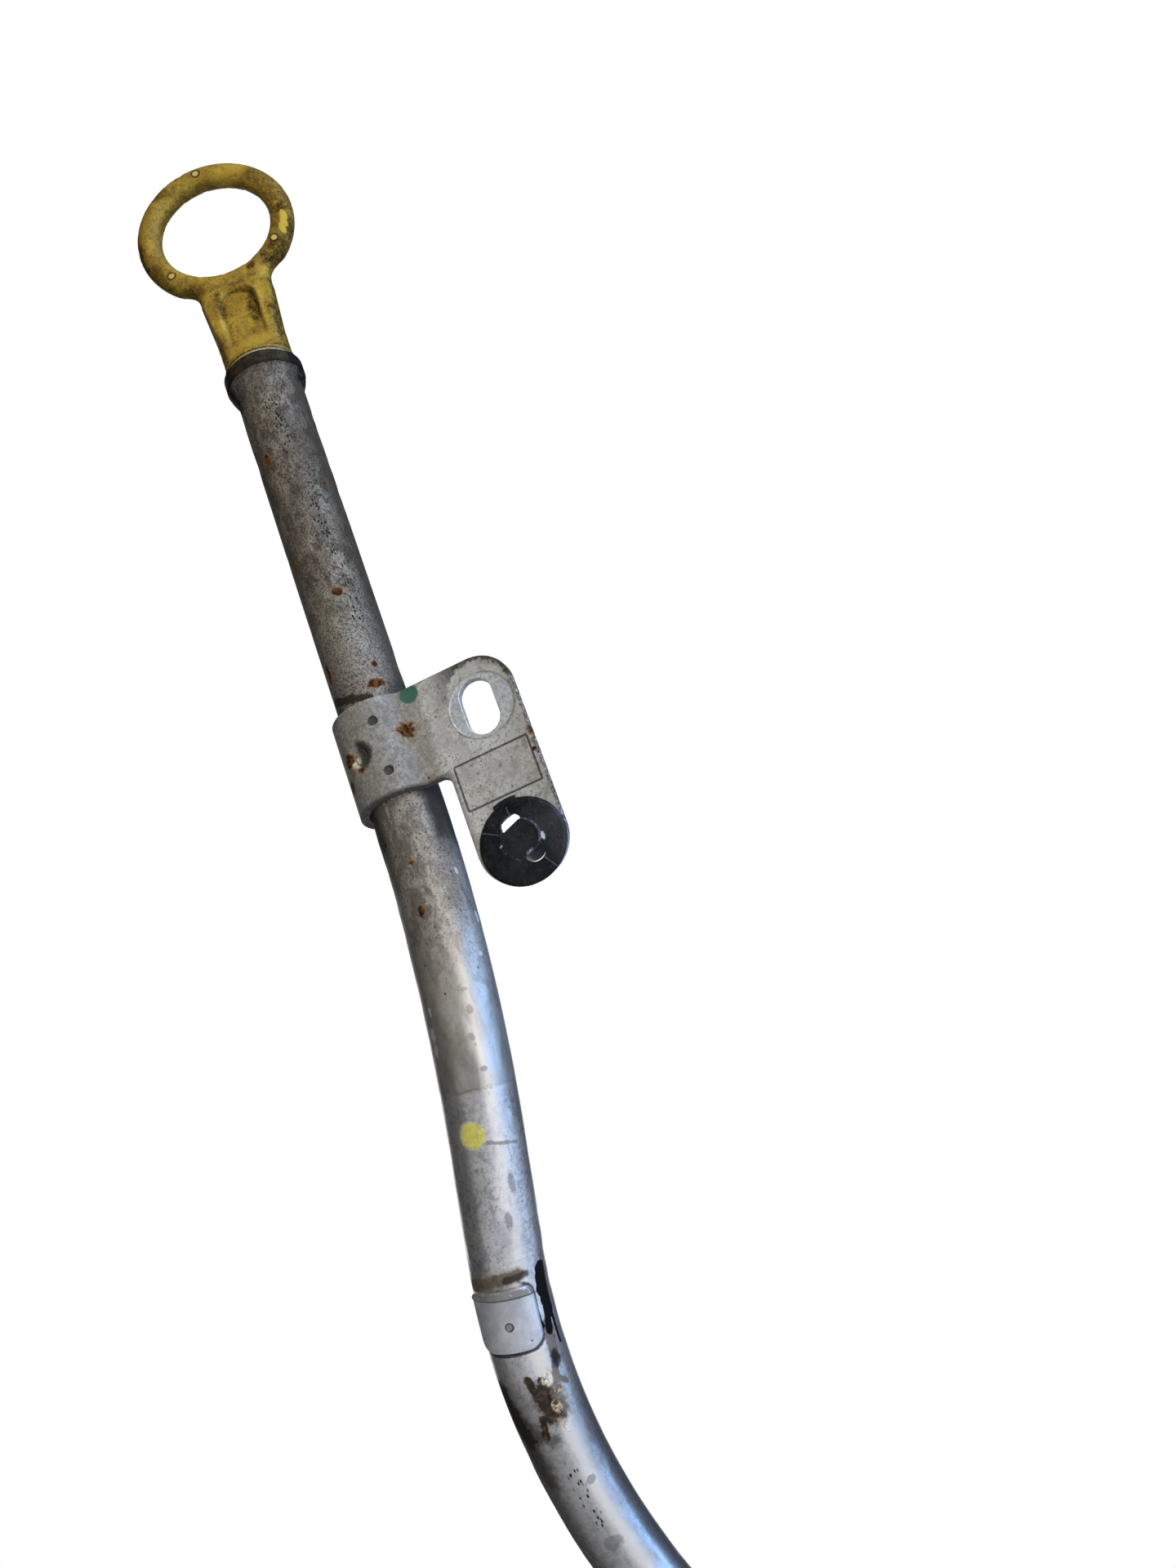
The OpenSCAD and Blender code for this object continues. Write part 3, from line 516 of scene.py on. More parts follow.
    # Brown dirt and painted shade above the pad's lip, darkest towards its right end.
    lip_dirt_and_shade = n.stroke(uv, (-7.5, 214.6), (4.4, 212.7), 1.5, ragged, 0.9, 1.2)
    lip_dark_dirt_and_shade = n.stroke(uv, (1.6, 213.6), (6.0, 213.0), 0.75, ragged, 0.9, 1.0)
    color = n.mix(n.times(lip_dirt_and_shade, 0.92), color, n.mix(n.ramp(fine, 0.4, 0.6), srgb(88, 77, 54),
                                                       srgb(74, 65, 48)))
    color = n.mix(n.times(lip_dark_dirt_and_shade, 0.85), color, srgb(44, 38, 32))
    grime = n.most(n.stroke(uv, (-7.0, 237.0), (-4.4, 247.0), 2.5, ragged, 0.9, 1.9),
                   n.times(n.stroke(uv, (-5.0, 246.0), (-3.4, 256.0), 2.2, ragged, 1.1, 2.2), 0.7),
                   n.times(n.stroke(uv, (-2.2, 245.6), (1.6, 248.0), 1.7, ragged, 1.1, 2.6), 0.8))
    color = n.mix(n.times(grime, 0.95), color, srgb(30, 25, 19))

    pad_gap = n.beyond(uv, PAD_PLACE, PAD_HALF, PAD_CORNER)
    # Painted shade: a dark blue-black line on the tube along the pad's right and lower edges.
    pad_edge_shade = n.times(n.band(n.shaken(pad_gap, ragged, 0.8), -1.0, 0.95, 0.4),
                       n.most(n.ramp(around, 3.6, 5.2), n.ramp(along, 225.5, 227.5)))
    color = n.mix(n.times(pad_edge_shade, 0.92), color, srgb(22, 24, 34))

    smear = n.most(n.stroke(uv, (2.4, 237.6), (3.4, 243.0), 2.4, ragged, 1.1, 1.9),
                   n.stroke(uv, (0.9, 234.6), (1.6, 238.6), 0.9, ragged, 0.5, 1.3),
                   n.stroke(uv, (3.4, 235.4), (3.2, 238.6), 0.9, ragged, 0.5, 1.3),
                   n.stroke(uv, (1.0, 243.0), (0.4, 246.6), 0.9, ragged, 0.8, 2.0))
    thin_oil = n.most(n.stroke(uv, (5.6, 236.0), (5.4, 243.0), 2.0, ragged, 0.9, 2.2),
                      n.stroke(uv, (8.6, 225.0), (8.2, 232.0), 1.5, ragged, 0.6, 1.2),
                      n.stroke(uv, (7.8, 232.0), (6.9, 236.0), 0.9, ragged, 0.6, 1.4),
                      n.stroke(uv, (6.9, 236.0), (8.9, 238.3), 0.6, ragged, 0.6, 1.2))
    crust = n.times(n.most(n.oval(uv, (4.9, 241.8), (1.1, 1.5), ragged, 0.5, 2.2),
                           n.oval(uv, (6.4, 238.6), (1.2, 0.9), ragged, 0.5, 2.0),
                           n.oval(uv, (5.0, 246.0), (0.8, 1.4), ragged, 0.5, 2.2)),
                    n.ramp(fine, 0.44, 0.52))
    sheen = n.times(n.stroke(uv, (4.6, 230.4), (4.9, 236.0), 1.1, ragged, 0.8, 1.6),
                    n.ramp(mottle, 0.36, 0.5))
    oil = n.most(n.stroke(uv, (10.1, 213.6), (9.6, 217.6), 1.95, ragged, 0.12, 0.6),
                 n.stroke(uv, (9.8, 217.4), (10.0, 223.0), 1.55, ragged, 0.12, 0.9),
                 n.stroke(uv, (9.6, 222.0), (8.6, 226.6), 1.0, ragged, 0.2, 1.0),
                 n.stroke(uv, (10.6, 222.4), (11.3, 230.2), 0.5, ragged, 0.25, 0.7),
                 n.stroke(uv, (6.6, 221.5), (7.3, 225.0), 0.5, ragged, 0.3, 1.4),
                 n.times(n.oval(uv, (8.2, 232.6), (1.2, 2.1), ragged, 0.9, 1.5), 0.9))
    color = n.mix(n.times(thin_oil, 0.85), color, n.mix(n.ramp(fine, 0.4, 0.62), OIL_BROWN,
                                                       srgb(92, 72, 44)))
    color = n.mix(n.times(smear, 0.97), color, n.mix(n.ramp(mottle, 0.42, 0.62), srgb(22, 15, 9),
                                                     n.mix(n.ramp(fine, 0.4, 0.6), srgb(36, 25, 14), srgb(96, 68, 40))))
    # Painted highlight: a near-white sheen on the oil.
    color = n.mix(n.times(sheen, n.ramp(fine, 0.36, 0.56), 0.75), color, srgb(244, 230, 200))
    color = n.mix(n.times(crust, n.ramp(grain, 0.4, 0.52), 0.85), color, srgb(198, 172, 132))

    color, rust = rusted(n, color, [
        (n.oval(uv, (u, a), (w, h), ragged, 0.5, 1.6), n.oval(uv, (u, a), (w * 1.5, h * 1.4), ragged, 0.9, 2.4))
        for u, a, w, h in ((5.7, 82.9, 0.7, 0.8), (4.8, 87.6, 1.9, 1.1), (-3.4, 24.2, 0.75, 1.5),
                           (2.8, 63.6, 1.25, 1.0), (-0.9, 138.4, 0.7, 1.2), (-0.1, 128.4, 0.6, 0.4),
                           (-5.7, 52.0, 0.5, 1.6), (-6.1, 80.4, 0.7, 2.6), (-5.6, 122.4, 0.5, 0.6),
                           (8.4, 34.4, 0.7, 0.4))], ragged, fine)
    color = n.mix(oil, color, n.mix(n.ramp(mottle, 0.56, 0.66), OIL_BLACK, srgb(26, 17, 12)))
    dot = n.oval(uv, (-0.3, 183.2), (2.7, 2.7), ragged, 0.45, 0.5)
    color = n.mix(n.times(dot, n.ramp(fine, 0.25, 0.45, 0.75, 0.95)), color,
                  n.mix(n.ramp(fine, 0.4, 0.7), srgb(196, 187, 84), srgb(168, 160, 78)))

    # Dirt, oil and painted shade together: rougher and not metallic there.
    dirt_and_shade = n.most(rust, smear, grime, n.times(lip_dirt_and_shade, 0.8), rim_soot_and_shade, dot, pad_edge_shade, n.times(under, sides),
                   n.times(low_left_shade, 0.7))
    rough = n.shaken(n.blend(upper, n.blend(wiped, 0.38, 0.3), 0.68), streaks, 0.12)
    rough = n.blend(n.times(dusty, n.math("SUBTRACT", 1.0, upper)), rough, 0.52)
    rough = n.blend(dirt_and_shade, rough, 0.7)
    rough = n.blend(n.most(crust, sheen, n.times(thin_oil, 0.7)), rough, 0.25)
    rough = n.blend(oil, rough, 0.3)
    metal = n.blend(upper, n.blend(wiped, n.blend(dusty, 0.72, 0.3), 0.9), 0.04)
    metal = n.blend(n.most(dirt_and_shade, oil, n.times(thin_oil, 0.7)), metal, 0.0)
    specular = n.blend(n.most(upper, dirt_and_shade, oil), 0.5, 0.06)
    height = n.math("ADD", n.times(grain, 0.35), n.times(fine, 0.6))
    height = n.math("ADD", height, n.times(n.most(oil, dot, crust, smear), 1.4))
    height = n.math("SUBTRACT", height, n.times(n.most(n.times(pits, speckled), n.times(dashes, scuffed)), 1.2))
    return n.set(color=color, rough=rough, metal=metal, normal=n.bump(height, 0.05, 0.5),
                 specular=specular)


def sheet_color(n, base, blobs, fine, grain):
    """Zinc-coated sheet, dull grey and mottled with fine dark pores."""
    color = n.mix(n.ramp(blobs, 0.34, 0.62), tuple(c * 0.74 for c in base[:3]), base)
    color = n.mix(n.times(n.ramp(fine, 0.5, 0.6), 0.6), color, tuple(c * 0.6 for c in base[:3]))
    color = n.mix(n.times(n.ramp(grain, 0.49, 0.6), n.ramp(blobs, 0.36, 0.56, 0.15, 0.6)), color,
                  tuple(c * 0.5 for c in base[:3]))
    pores = n.most(n.times(n.flecks(0.6, 0.2, 0.28), n.ramp(blobs, 0.44, 0.56)),
                   n.times(n.flecks(2.1, 0.16, 0.14), 0.8))
    return n.mix(n.times(pores, 0.75), color, srgb(48, 42, 36)), pores


def bracket_material():
    """Dull zinc with a coined bolt seat, a dark engraved frame, grime on its edges, rust and a paint dab; the collar,
    its root, its lower edge and its dimples carry painted shade, and the big dimple a painted highlight.
    """
    n = Nodes("bracket_zinc")
    x, y, z = n.parts(n.point())
    blobs = n.noise(6, 5, 0.6)
    fine = n.noise(0.9, 5, 0.66)
    grain = n.noise(0.45, 4, 0.75)
    ragged = n.noise(1.3, 5, 0.66)
    color, pores = sheet_color(n, srgb(175, 173, 165), blobs, fine, grain)
    # Painted shade: the collar round the tube darkened, mottled brown-grey.
    around_tube = n.ramp(x, -12.0, -17.0)
    color = n.mix(n.times(around_tube, 0.58), color, n.mix(n.ramp(fine, 0.4, 0.6), srgb(112, 107, 97),
                                                          srgb(66, 61, 53)))
    # Painted shade: a mottled darker band where the collar turns into the plate.
    root = n.times(n.band(n.shaken(x, ragged, 2.5), -18.6, -12.6, 2.4), n.ramp(fine, 0.3, 0.55, 0.4, 0.9))
    color = n.mix(n.times(root, 0.7), color, srgb(104, 97, 84))
    tan = n.times(n.ramp(n.noise(1.7, 5, 0.7, distortion=0.8), 0.56, 0.66), 0.75)
    color = n.mix(tan, color, srgb(104, 90, 72))
    worn = n.noise(3.2, 6, 0.7, distortion=0.6)
    right = n.ramp(n.shaken(x, blobs, 7), 0, 8)
    color = n.mix(n.times(n.ramp(worn, 0.48, 0.6), n.blend(right, 0.3, 0.7)), color, srgb(104, 97, 85))
    color = n.mix(n.times(right, 0.35), color, srgb(116, 110, 98))

    flat = n.vector("MULTIPLY", n.point(), (1, 0, 1))
    from_bolt = n.vector("LENGTH", flat)
    front = n.ramp(y, 0.9, 0.5)
    seat = n.times(n.ramp(from_bolt, SEAT_R + 0.05, SEAT_R - 0.15), front)
    color = n.mix(n.times(seat, 0.75), color, n.mix(n.ramp(fine, 0.4, 0.66), srgb(184, 189, 190),
                                                   srgb(150, 153, 152)))
    rim = n.times(n.band(n.shaken(from_bolt, ragged, 0.5), SEAT_R - 0.1, SEAT_R + 0.35, 0.2), front,
                  n.ramp(blobs, 0.4, 0.6))
    color = n.mix(n.times(rim, 0.65), color, srgb(88, 83, 76))

    from_frame = n.beyond(flat, (FRAME_X, 0, FRAME_Z), (FRAME_W / 2 - 0.5, 0, FRAME_H / 2 - 0.5))
    line = n.times(n.band(n.shaken(from_frame, ragged, 0.12), 0.04, 0.48, 0.14), front)
    color = n.mix(n.times(line, 0.85), color, srgb(50, 45, 39))

    from_corner = n.vector("LENGTH", n.vector("SUBTRACT", flat, (CORNER_X, 0, CORNER_Z)))
    rounded = n.times(n.ramp(x, -12, -2), n.ramp(z, 2.2, 4.5),
                      n.ramp(n.shaken(from_corner, ragged, 3.4), 6.4, 7.6))
    top_edge = n.times(n.ramp(n.shaken(z, ragged, 1.2), 10.75, 11.3), n.ramp(x, -24, -6))
    edge_grime = n.most(rounded, n.times(top_edge, 0.8),
                        n.times(n.ramp(n.shaken(x, ragged, 1.8), 7.4, 8.2), n.ramp(fine, 0.36, 0.56)))
    color = n.mix(n.times(edge_grime, 0.92), color, srgb(38, 31, 23))
    # Painted shade: the lower edge of the collar and plate darkened.
    low_edge_shade = n.times(n.ramp(n.shaken(z, ragged, 0.9), -10.3, -11.1), n.ramp(x, -10, -12))
    color = n.mix(n.times(low_edge_shade, 0.75), color, srgb(60, 55, 48))
    shade = n.times(n.ramp(x, -28, -33), n.ramp(blobs, 0.25, 0.6))
    color = n.mix(n.times(shade, 0.55), color, srgb(74, 72, 66))
    scratches = n.noise(2.4, 6, 0.7, at=n.vector("MULTIPLY", n.point(), (4, 1, 1)))
    color = n.mix(n.times(n.band(scratches, 0.53, 0.55, 0.02), n.ramp(blobs, 0.45, 0.6), 0.4), color,
                  srgb(196, 193, 186))
    # Painted shade: the two small dimples in the collar painted dark.
    pips = n.most(*[n.spot(place, 1.15, 0.3) for place in PIPS])
    color = n.mix(n.times(pips, 0.85), color, srgb(42, 37, 33))
    # Painted shade: the big dimple's right half darkened.
    dimple = n.spot(DIMPLE, DIMPLE_R, 0.3, ragged, 0.25)
    color = n.mix(n.times(dimple, n.ramp(n.shaken(x, ragged, 1.5), -28.8, -27.4), 0.85), color,
                  srgb(44, 42, 38))
    # Painted highlight: a pale spot on the dimple's lit lower left.
    color = n.mix(n.times(n.spot((-29.4, -1.8, -0.6), 1.1, 0.8, ragged, 0.6), 0.7), color,
                  srgb(205, 200, 184))

    color, rust = rusted(n, color, [
        (n.spot(place, size, 0.6, ragged, 2.2), n.spot(place, size * 1.5, 0.9, ragged, 2.2))
        for place, size in (((-17.1, -0.4, 1.9), 1.8), ((7.9, 0.6, -9.8), 1.0), ((-31.0, -1.2, 0.6), 1.5),
                            ((-28.4, -2.6, -2.9), 0.9), ((-32.4, 0.6, -4.6), 1.3),
                            ((-16.0, 0.2, -10.0), 0.45), ((7.4, 0.0, -14.2), 0.5))], ragged, fine)
    paint = n.spot((-14.2, 0.3, 9.6), 2.15, 0.2, ragged, 0.25)
    color = n.mix(paint, color, n.mix(fine, srgb(44, 78, 62), srgb(60, 92, 77)))
    rough = n.blend(seat, n.shaken(0.62, fine, 0.2), 0.45)
    rough = n.blend(rust, rough, 0.9)
    metal = n.blend(seat, 0.06, 0.5)
    metal = n.blend(n.most(rust, paint, edge_grime, line), metal, 0.0)
    height = n.math("ADD", n.times(grain, 0.7), n.times(fine, 1.2))
    height = n.math("SUBTRACT", height, n.times(n.most(pores, line), 1.5))
    return n.set(color=color, rough=rough, metal=metal, normal=n.bump(height, 0.08, 0.7),
                 specular=n.blend(seat, 0.14, 0.4))


def pad_material():
    """Smooth zinc pad with a pressed mark, a few dark specks, brown dirt on its lip and a painted shadow in the crease
    under the lip.
    """
    n = Nodes("pad_zinc")
    blobs = n.noise(5, 5, 0.6)
    fine = n.noise(0.9, 5, 0.66)
    grain = n.noise(0.3, 3, 0.6)
    ragged = n.noise(1.4, 5, 0.65)
    color = n.mix(n.ramp(blobs, 0.35, 0.65), srgb(176, 175, 176), srgb(206, 205, 206))
    color = n.mix(n.times(n.ramp(fine, 0.58, 0.72), 0.4), color, srgb(140, 138, 134))
    color = n.mix(n.times(n.flecks(1.9, 0.3, 0.16), 0.8), color, srgb(64, 60, 54))
    mark = n.vector("DISTANCE", n.point(), on_pad(4, PAD_PLACE[1] + 1)[0])
    color = n.mix(n.times(n.band(mark, 0.62, 0.98, 0.2), 0.9), color, srgb(52, 48, 44))
    color = n.mix(n.times(n.ramp(mark, 0.68, 0.5), 0.7), color, srgb(112, 106, 96))
    edge, up = on_pad(0, PAD_LIP_EDGE)
    crease = n.vector("DOT_PRODUCT", n.vector("SUBTRACT", n.point(), edge), up)
    lip = n.ramp(crease, -0.1, 0.1)
    color = n.mix(n.times(lip, n.ramp(ragged, 0.36, 0.48), 0.7), color, srgb(118, 112, 96))
    # Painted shadow: a dark band in the crease just under the lip's edge.
    color = n.mix(n.times(n.band(n.shaken(crease, ragged, 0.3), -0.36, -0.02, 0.16), 0.85), color,
                  srgb(66, 64, 62))
    rough = n.shaken(0.42, fine, 0.15)
    height = n.math("ADD", n.times(grain, 0.4), fine)
    return n.set(color=color, rough=rough, metal=0.7, normal=n.bump(height, 0.03, 0.4))


def handle_material():
    """Aged yellow moulding, browned by grime on its edges, darkened on the ring's right side as painted shade, and
    rubbed brighter where fingers hold it.
    """
    n = Nodes("aged_yellow_plastic")
    x, y, z = n.parts(n.point())
    blobs = n.noise(7, 6, 0.65)
    fine = n.noise(1.4, 6, 0.7)
    specks = n.noise(0.5, 4, 0.65)
    ragged = n.noise(2.2, 5, 0.65)
    base = n.mix(n.ramp(blobs, 0.34, 0.66), srgb(128, 100, 33), srgb(153, 125, 42))
    base = n.mix(n.times(n.ramp(fine, 0.48, 0.66), 0.7), base, srgb(98, 74, 26))
    base = n.mix(n.times(n.ramp(specks, 0.5, 0.62), 0.6), base, srgb(80, 60, 24))

    def brown(place, size, amount=1.7):
        return n.spot(place, size, 0.9, ragged, amount)

    turn = math.radians(HANDLE_TURN)
    centre = (TUBE_X, TUBE_Y, RING_Z)
    from_ring = n.vector("DISTANCE", n.point(), centre)
    outer = n.ramp(n.shaken(from_ring, ragged, 2.4), RING_R + 1.3, RING_R + 3.0)
    inner = n.ramp(n.shaken(from_ring, ragged, 1.6), RING_R - 1.9, RING_R - 2.9)
    along = n.vector("DOT_PRODUCT", n.vector("SUBTRACT", n.point(), (TUBE_X, TUBE_Y, 0)),
                     (math.cos(turn), math.sin(turn), 0))
    stem = n.ramp(z, RING_Z - RING_R - 1, RING_Z - RING_R - 3)
    right_edge = n.times(stem, n.ramp(n.shaken(along, ragged, 4.0), 6.0, 8.0))
    left_edge = n.times(stem, n.ramp(n.shaken(along, ragged, 2.6), -7.4, -8.8))
    grime = n.most(
        n.times(outer, n.math("SUBTRACT", 1.0, stem), 0.75), n.times(inner, n.math("SUBTRACT", 1.0, stem), 0.5),
        right_edge, n.times(left_edge, 0.7),
        brown((-5.4, 8.0, 141.0), (3.6, 3.5, 6.5), 1.2), n.times(brown((-4.6, 8.4, 151.0), (1.6, 3.0, 5.0)), 0.8),
        brown((-9.5, 7.0, 137.6), (4.2, 4.0, 4.2), 1.4), brown((-12.6, 6.3, 136.6), (3.6, 4.0, 2.6), 1.6),
        brown((-7.0, 7.0, 149.6), (1.8, 3.0, 2.0), 1.2),
        brown((-18.4, 4.8, 136.0), 1.3, 1.2), n.times(brown((-40.5, 1.2, 143.0), (3.0, 3.0, 4.5)), 0.7),
        n.times(brown((-34.5, 2.4, 134.8), (4.5, 3.0, 2.0)), 0.8),
        n.times(brown((-10.6, 6.6, 162.6), (2.2, 3.0, 3.4)), 0.6),
        n.times(brown((-28.0, 2.3, 127.6), (0.8, 2.0, 4.6), 1.2), 0.8), brown((-20.4, 3.4, 123.5), (1.5, 3.0, 6.4), 1.6),
        n.times(brown((-22.6, 3.6, 132.2), (3.4, 1.6, 0.8), 1.0), 0.6),
        n.times(brown((-31.2, 0.2, 112.0), (2.2, 3.0, 4.6)), 0.6),
        n.times(brown((-34.0, 1.5, 166.4), (3.6, 3.0, 1.8), 2.0), 0.7), brown((-42.8, 2.0, 149.0), (1.6, 4.0, 6.5), 1.6),
        # Painted shade: the ring's right side darkened with the grime colour.
        n.times(n.ramp(n.shaken(along, ragged, 6.0), 11.5, 16.0), 0.55))
    crease = n.most(n.times(n.band(n.shaken(z, ragged, 0.7), FLANGE_TOP - 0.3, FLANGE_TOP + 0.6, 0.4), 0.95),
                    n.band(z, FLANGE_TOP - 1.6, FLANGE_TOP - 1.1, 0.2))
    base = n.mix(n.times(n.most(grime, crease), n.ramp(fine, 0.26, 0.52)), base,
                 n.mix(n.ramp(specks, 0.4, 0.58), srgb(86, 64, 26), srgb(42, 31, 16)))
    scuff = n.most(*[n.spot(place, (0.7, 3.0, 1.6), 0.4, ragged, 0.4) for place in (
        (-6.9, 7.2, 147.0), (-7.4, 7.1, 145.2), (-8.2, 7.0, 143.4))])
    rubbed = n.most(scuff, n.times(n.spot((-14.2, 4.4, 133.2), (3.0, 3.0, 2.4), 0.7, ragged, 1.2), 0.8),
                    n.times(n.spot((-17.0, 3.9, 127.5), (1.8, 3.0, 4.6), 0.9, ragged, 1.6), 0.6),
                    n.times(n.spot((-29.0, 0.6, 120.7), (0.8, 3.0, 3.0), 0.9, ragged, 1.4), 0.7),
                    n.times(n.spot((-16.6, 5.2, 165.4), (4.2, 3.0, 3.0), 0.9, ragged, 1.0), 0.6),
                    n.times(n.spot((-21.0, 0.5, 112.6), (3.4, 6.0, 1.6), 0.9, ragged, 1.6), 0.6))
    base = n.mix(n.times(rubbed, n.ramp(fine, 0.7, 0.5, 0.4, 0.9)), base, srgb(172, 144, 52))
    base = n.mix(n.times(n.ramp(z, FLANGE_TOP - 1.6, FLANGE_TOP - 1.75), n.ramp(fine, 0.34, 0.52)), base,
                 srgb(150, 140, 108))
    discs = [n.vector("DISTANCE", n.point(), place) for place in ring_discs()]
    near = discs[0]
    for disc in discs[1:]:
        near = n.math("MINIMUM", near, disc)
    base = n.mix(n.times(n.band(near, 0.75, 1.25, 0.25), 0.85), base, srgb(44, 33, 20))
    base = n.mix(n.ramp(near, 0.85, 0.65), base, srgb(176, 152, 80))
    rough = n.blend(grime, n.shaken(0.52, fine, 0.25), 0.85)
    height = n.math("ADD", n.times(specks, 0.5), fine)
    return n.set(color=base, rough=rough, normal=n.bump(height, 0.05, 0.5),
                 specular=n.blend(grime, 0.12, 0.02))


def ring_discs():
    """Middles of the three ejector marks on the finger ring's front."""
    turn = math.radians(HANDLE_TURN)
    out = []
    for angle in RING_DISCS:
        along, up = RING_R * math.cos(math.radians(angle)), RING_R * math.sin(math.radians(angle))
        out.append((TUBE_X + along * math.cos(turn) + RING_HALF * math.sin(turn),
                    TUBE_Y + along * math.sin(turn) - RING_HALF * math.cos(turn), RING_Z + up))
    return out


def black_material(name, tone, rough, worn, dust=0.5):
    """Black nylon or rubber with dust and handling marks."""
    n = Nodes(name)
    blobs = n.noise(4, 5, 0.6)
    fine = n.noise(0.7, 5, 0.65)
    color = n.mix(n.ramp(blobs, 0.4, 0.7), tone, worn)
    color = n.mix(n.times(n.ramp(fine, 0.6, 0.74), dust), color, srgb(70, 72, 72))
    gloss = n.shaken(rough, fine, 0.3)
    return n.set(color=color, rough=gloss, normal=n.bump(fine, 0.03, 0.4), specular=0.4)


def clip_material():
    """Black nylon clip, scratched round its boss, with mould lines across it and lighter grey flecks towards its top:
    dust with a painted sheen.
    """
    n = Nodes("clip_nylon")
    x, y, z = n.parts(n.point())
    flat = n.vector("MULTIPLY", n.vector("SUBTRACT", n.point(), CLIP_PLACE), (1, 0, 1))
    from_middle = n.vector("LENGTH", flat)
    blobs = n.noise(4, 5, 0.6)
    fine = n.noise(0.7, 5, 0.65)
    ragged = n.noise(1.2, 5, 0.65)
    color = n.mix(n.ramp(blobs, 0.4, 0.65), srgb(10, 12, 13), srgb(24, 27, 30))
    # Dust and painted sheen: fine lighter grey flecks, more of them towards the top.
    color = n.mix(n.times(n.ramp(fine, 0.56, 0.7), n.ramp(z, -32, -26, 0.25, 0.6)), color, srgb(62, 64, 66))
    boss = n.times(n.band(n.shaken(from_middle, ragged, 0.5), 4.1, 4.4, 0.3), n.ramp(fine, 0.44, 0.54))
    color = n.mix(n.times(boss, 0.45), color, srgb(104, 110, 114))
    for angle, start, end in CLIP_LINES:
        way = (math.cos(math.radians(angle)), 0, math.sin(math.radians(angle)))
        along = n.vector("DOT_PRODUCT", flat, way)
        across = n.math("ABSOLUTE", n.vector("DOT_PRODUCT", flat, (-way[2], 0, way[0])))
        line = n.times(n.ramp(n.shaken(across, ragged, 0.3), 0.16, 0.06), n.band(along, start, end, 0.6))
        color = n.mix(n.times(line, n.ramp(fine, 0.4, 0.5), 0.6), color, srgb(96, 100, 104))
    cloudy = n.band(n.noise(5.0, 4, 0.6, distortion=1.2), 0.52, 0.56, 0.03)
    color = n.mix(n.times(cloudy, 0.05), color, srgb(96, 102, 106))
    scuffs = n.most(*[n.spot(place, size, 0.5, ragged, 2.2) for place, size in CLIP_SCUFFS])
    color = n.mix(n.times(scuffs, 0.8), color, srgb(172, 180, 186))
    rough = n.shaken(0.36, fine, 0.3)
    height = n.math("ADD", fine, n.times(blobs, 1.5))
    return n.set(color=color, rough=rough, normal=n.bump(height, 0.06, 0.5), specular=0.17)


def seal_material():
    """Rubber seal under the flange, brown with old dirt, with black oil left on its lower left side and painted shade
    darkening its right edge.
    """
    n = Nodes("mouth_seal_rubber")
    x, y, z = n.parts(n.point())
    mottle = n.noise(2.2, 6, 0.7)
    fine = n.noise(0.8, 5, 0.7)
    ragged = n.noise(1.4, 5, 0.65)
    color = n.mix(n.ramp(mottle, 0.4, 0.6), srgb(36, 30, 20), srgb(54, 46, 34))
    color = n.mix(n.times(n.ramp(fine, 0.5, 0.64), 0.7), color, srgb(24, 20, 15))
    top = n.ramp(n.shaken(z, ragged, 0.5), FLANGE_TOP - 3.1, FLANGE_TOP - 2.7)
    left = n.ramp(n.shaken(x, ragged, 2.4), TUBE_X - 4.2, TUBE_X - 6.0)
    # Painted shade: the right edge darkened nearly to black, in the same black as the oil on the left.
    right = n.ramp(n.shaken(x, ragged, 1.6), TUBE_X + 8.0, TUBE_X + 8.9)
    color = n.mix(n.most(n.times(top, 0.85), n.times(left, 0.9), n.times(right, 0.8)), color,
                  srgb(12, 9, 6))
    rough = n.blend(left, n.shaken(0.7, fine, 0.3), 0.35)
    height = n.math("ADD", n.times(mottle, 1.5), fine)
    return n.set(color=color, rough=rough, normal=n.bump(height, 0.12, 0.6), specular=0.04)


def steel_material(name, tone):
    """Drawn spring steel, satin, with an oily tint."""
    n = Nodes(name)
    blobs = n.noise(9, 4, 0.6)
    fine = n.noise(0.4, 3, 0.6)
    color = n.mix(n.ramp(blobs, 0.35, 0.7), tone, srgb(122, 112, 94))
    rough = n.math("ADD", 0.26, n.times(fine, 0.2))
    return n.set(color=color, rough=rough, metal=0.95, normal=n.bump(fine, 0.02, 0.4))


def moulded(node, name, voxel, rounds, keep=1.0, shape=None):
    """Copy of a CAD node remeshed and relaxed, with edges as soft as a worn part's, then shaped further."""
    mesh = node.data.copy()
    obj = bpy.data.objects.new(name, mesh)
    bpy.context.scene.collection.objects.link(obj)
    remesh = obj.modifiers.new("skin", "REMESH")
    remesh.mode = "VOXEL"
    remesh.voxel_size = voxel * MM
    remesh.use_smooth_shade = True
    relax = obj.modifiers.new("relax", "SMOOTH")
    relax.factor = 0.5
    relax.iterations = rounds
    baked(obj, name)
    if shape:
        shape(obj.data)
    if keep < 1:
        lighter = obj.modifiers.new("lighter", "DECIMATE")
        lighter.ratio = keep
        baked(obj, name)
    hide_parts(node.name)
    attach(obj, "root")
    return obj


def baked(obj, name):
    """Turns an object's modifiers into its mesh."""
    bpy.context.view_layer.update()
    seen = obj.evaluated_get(bpy.context.evaluated_depsgraph_get())
    mesh = bpy.data.meshes.new_from_object(seen)
    mesh.name = name
    obj.modifiers.clear()
    obj.data = mesh


def points_of(mesh):
    """Points and normals of a mesh, points in millimetres, as two arrays."""
    count = len(mesh.vertices)
    points, normals = np.empty(count * 3), np.empty(count * 3)
    mesh.vertices.foreach_get("co", points)
    mesh.vertices.foreach_get("normal", normals)
    return points.reshape(-1, 3) / MM, normals.reshape(-1, 3)


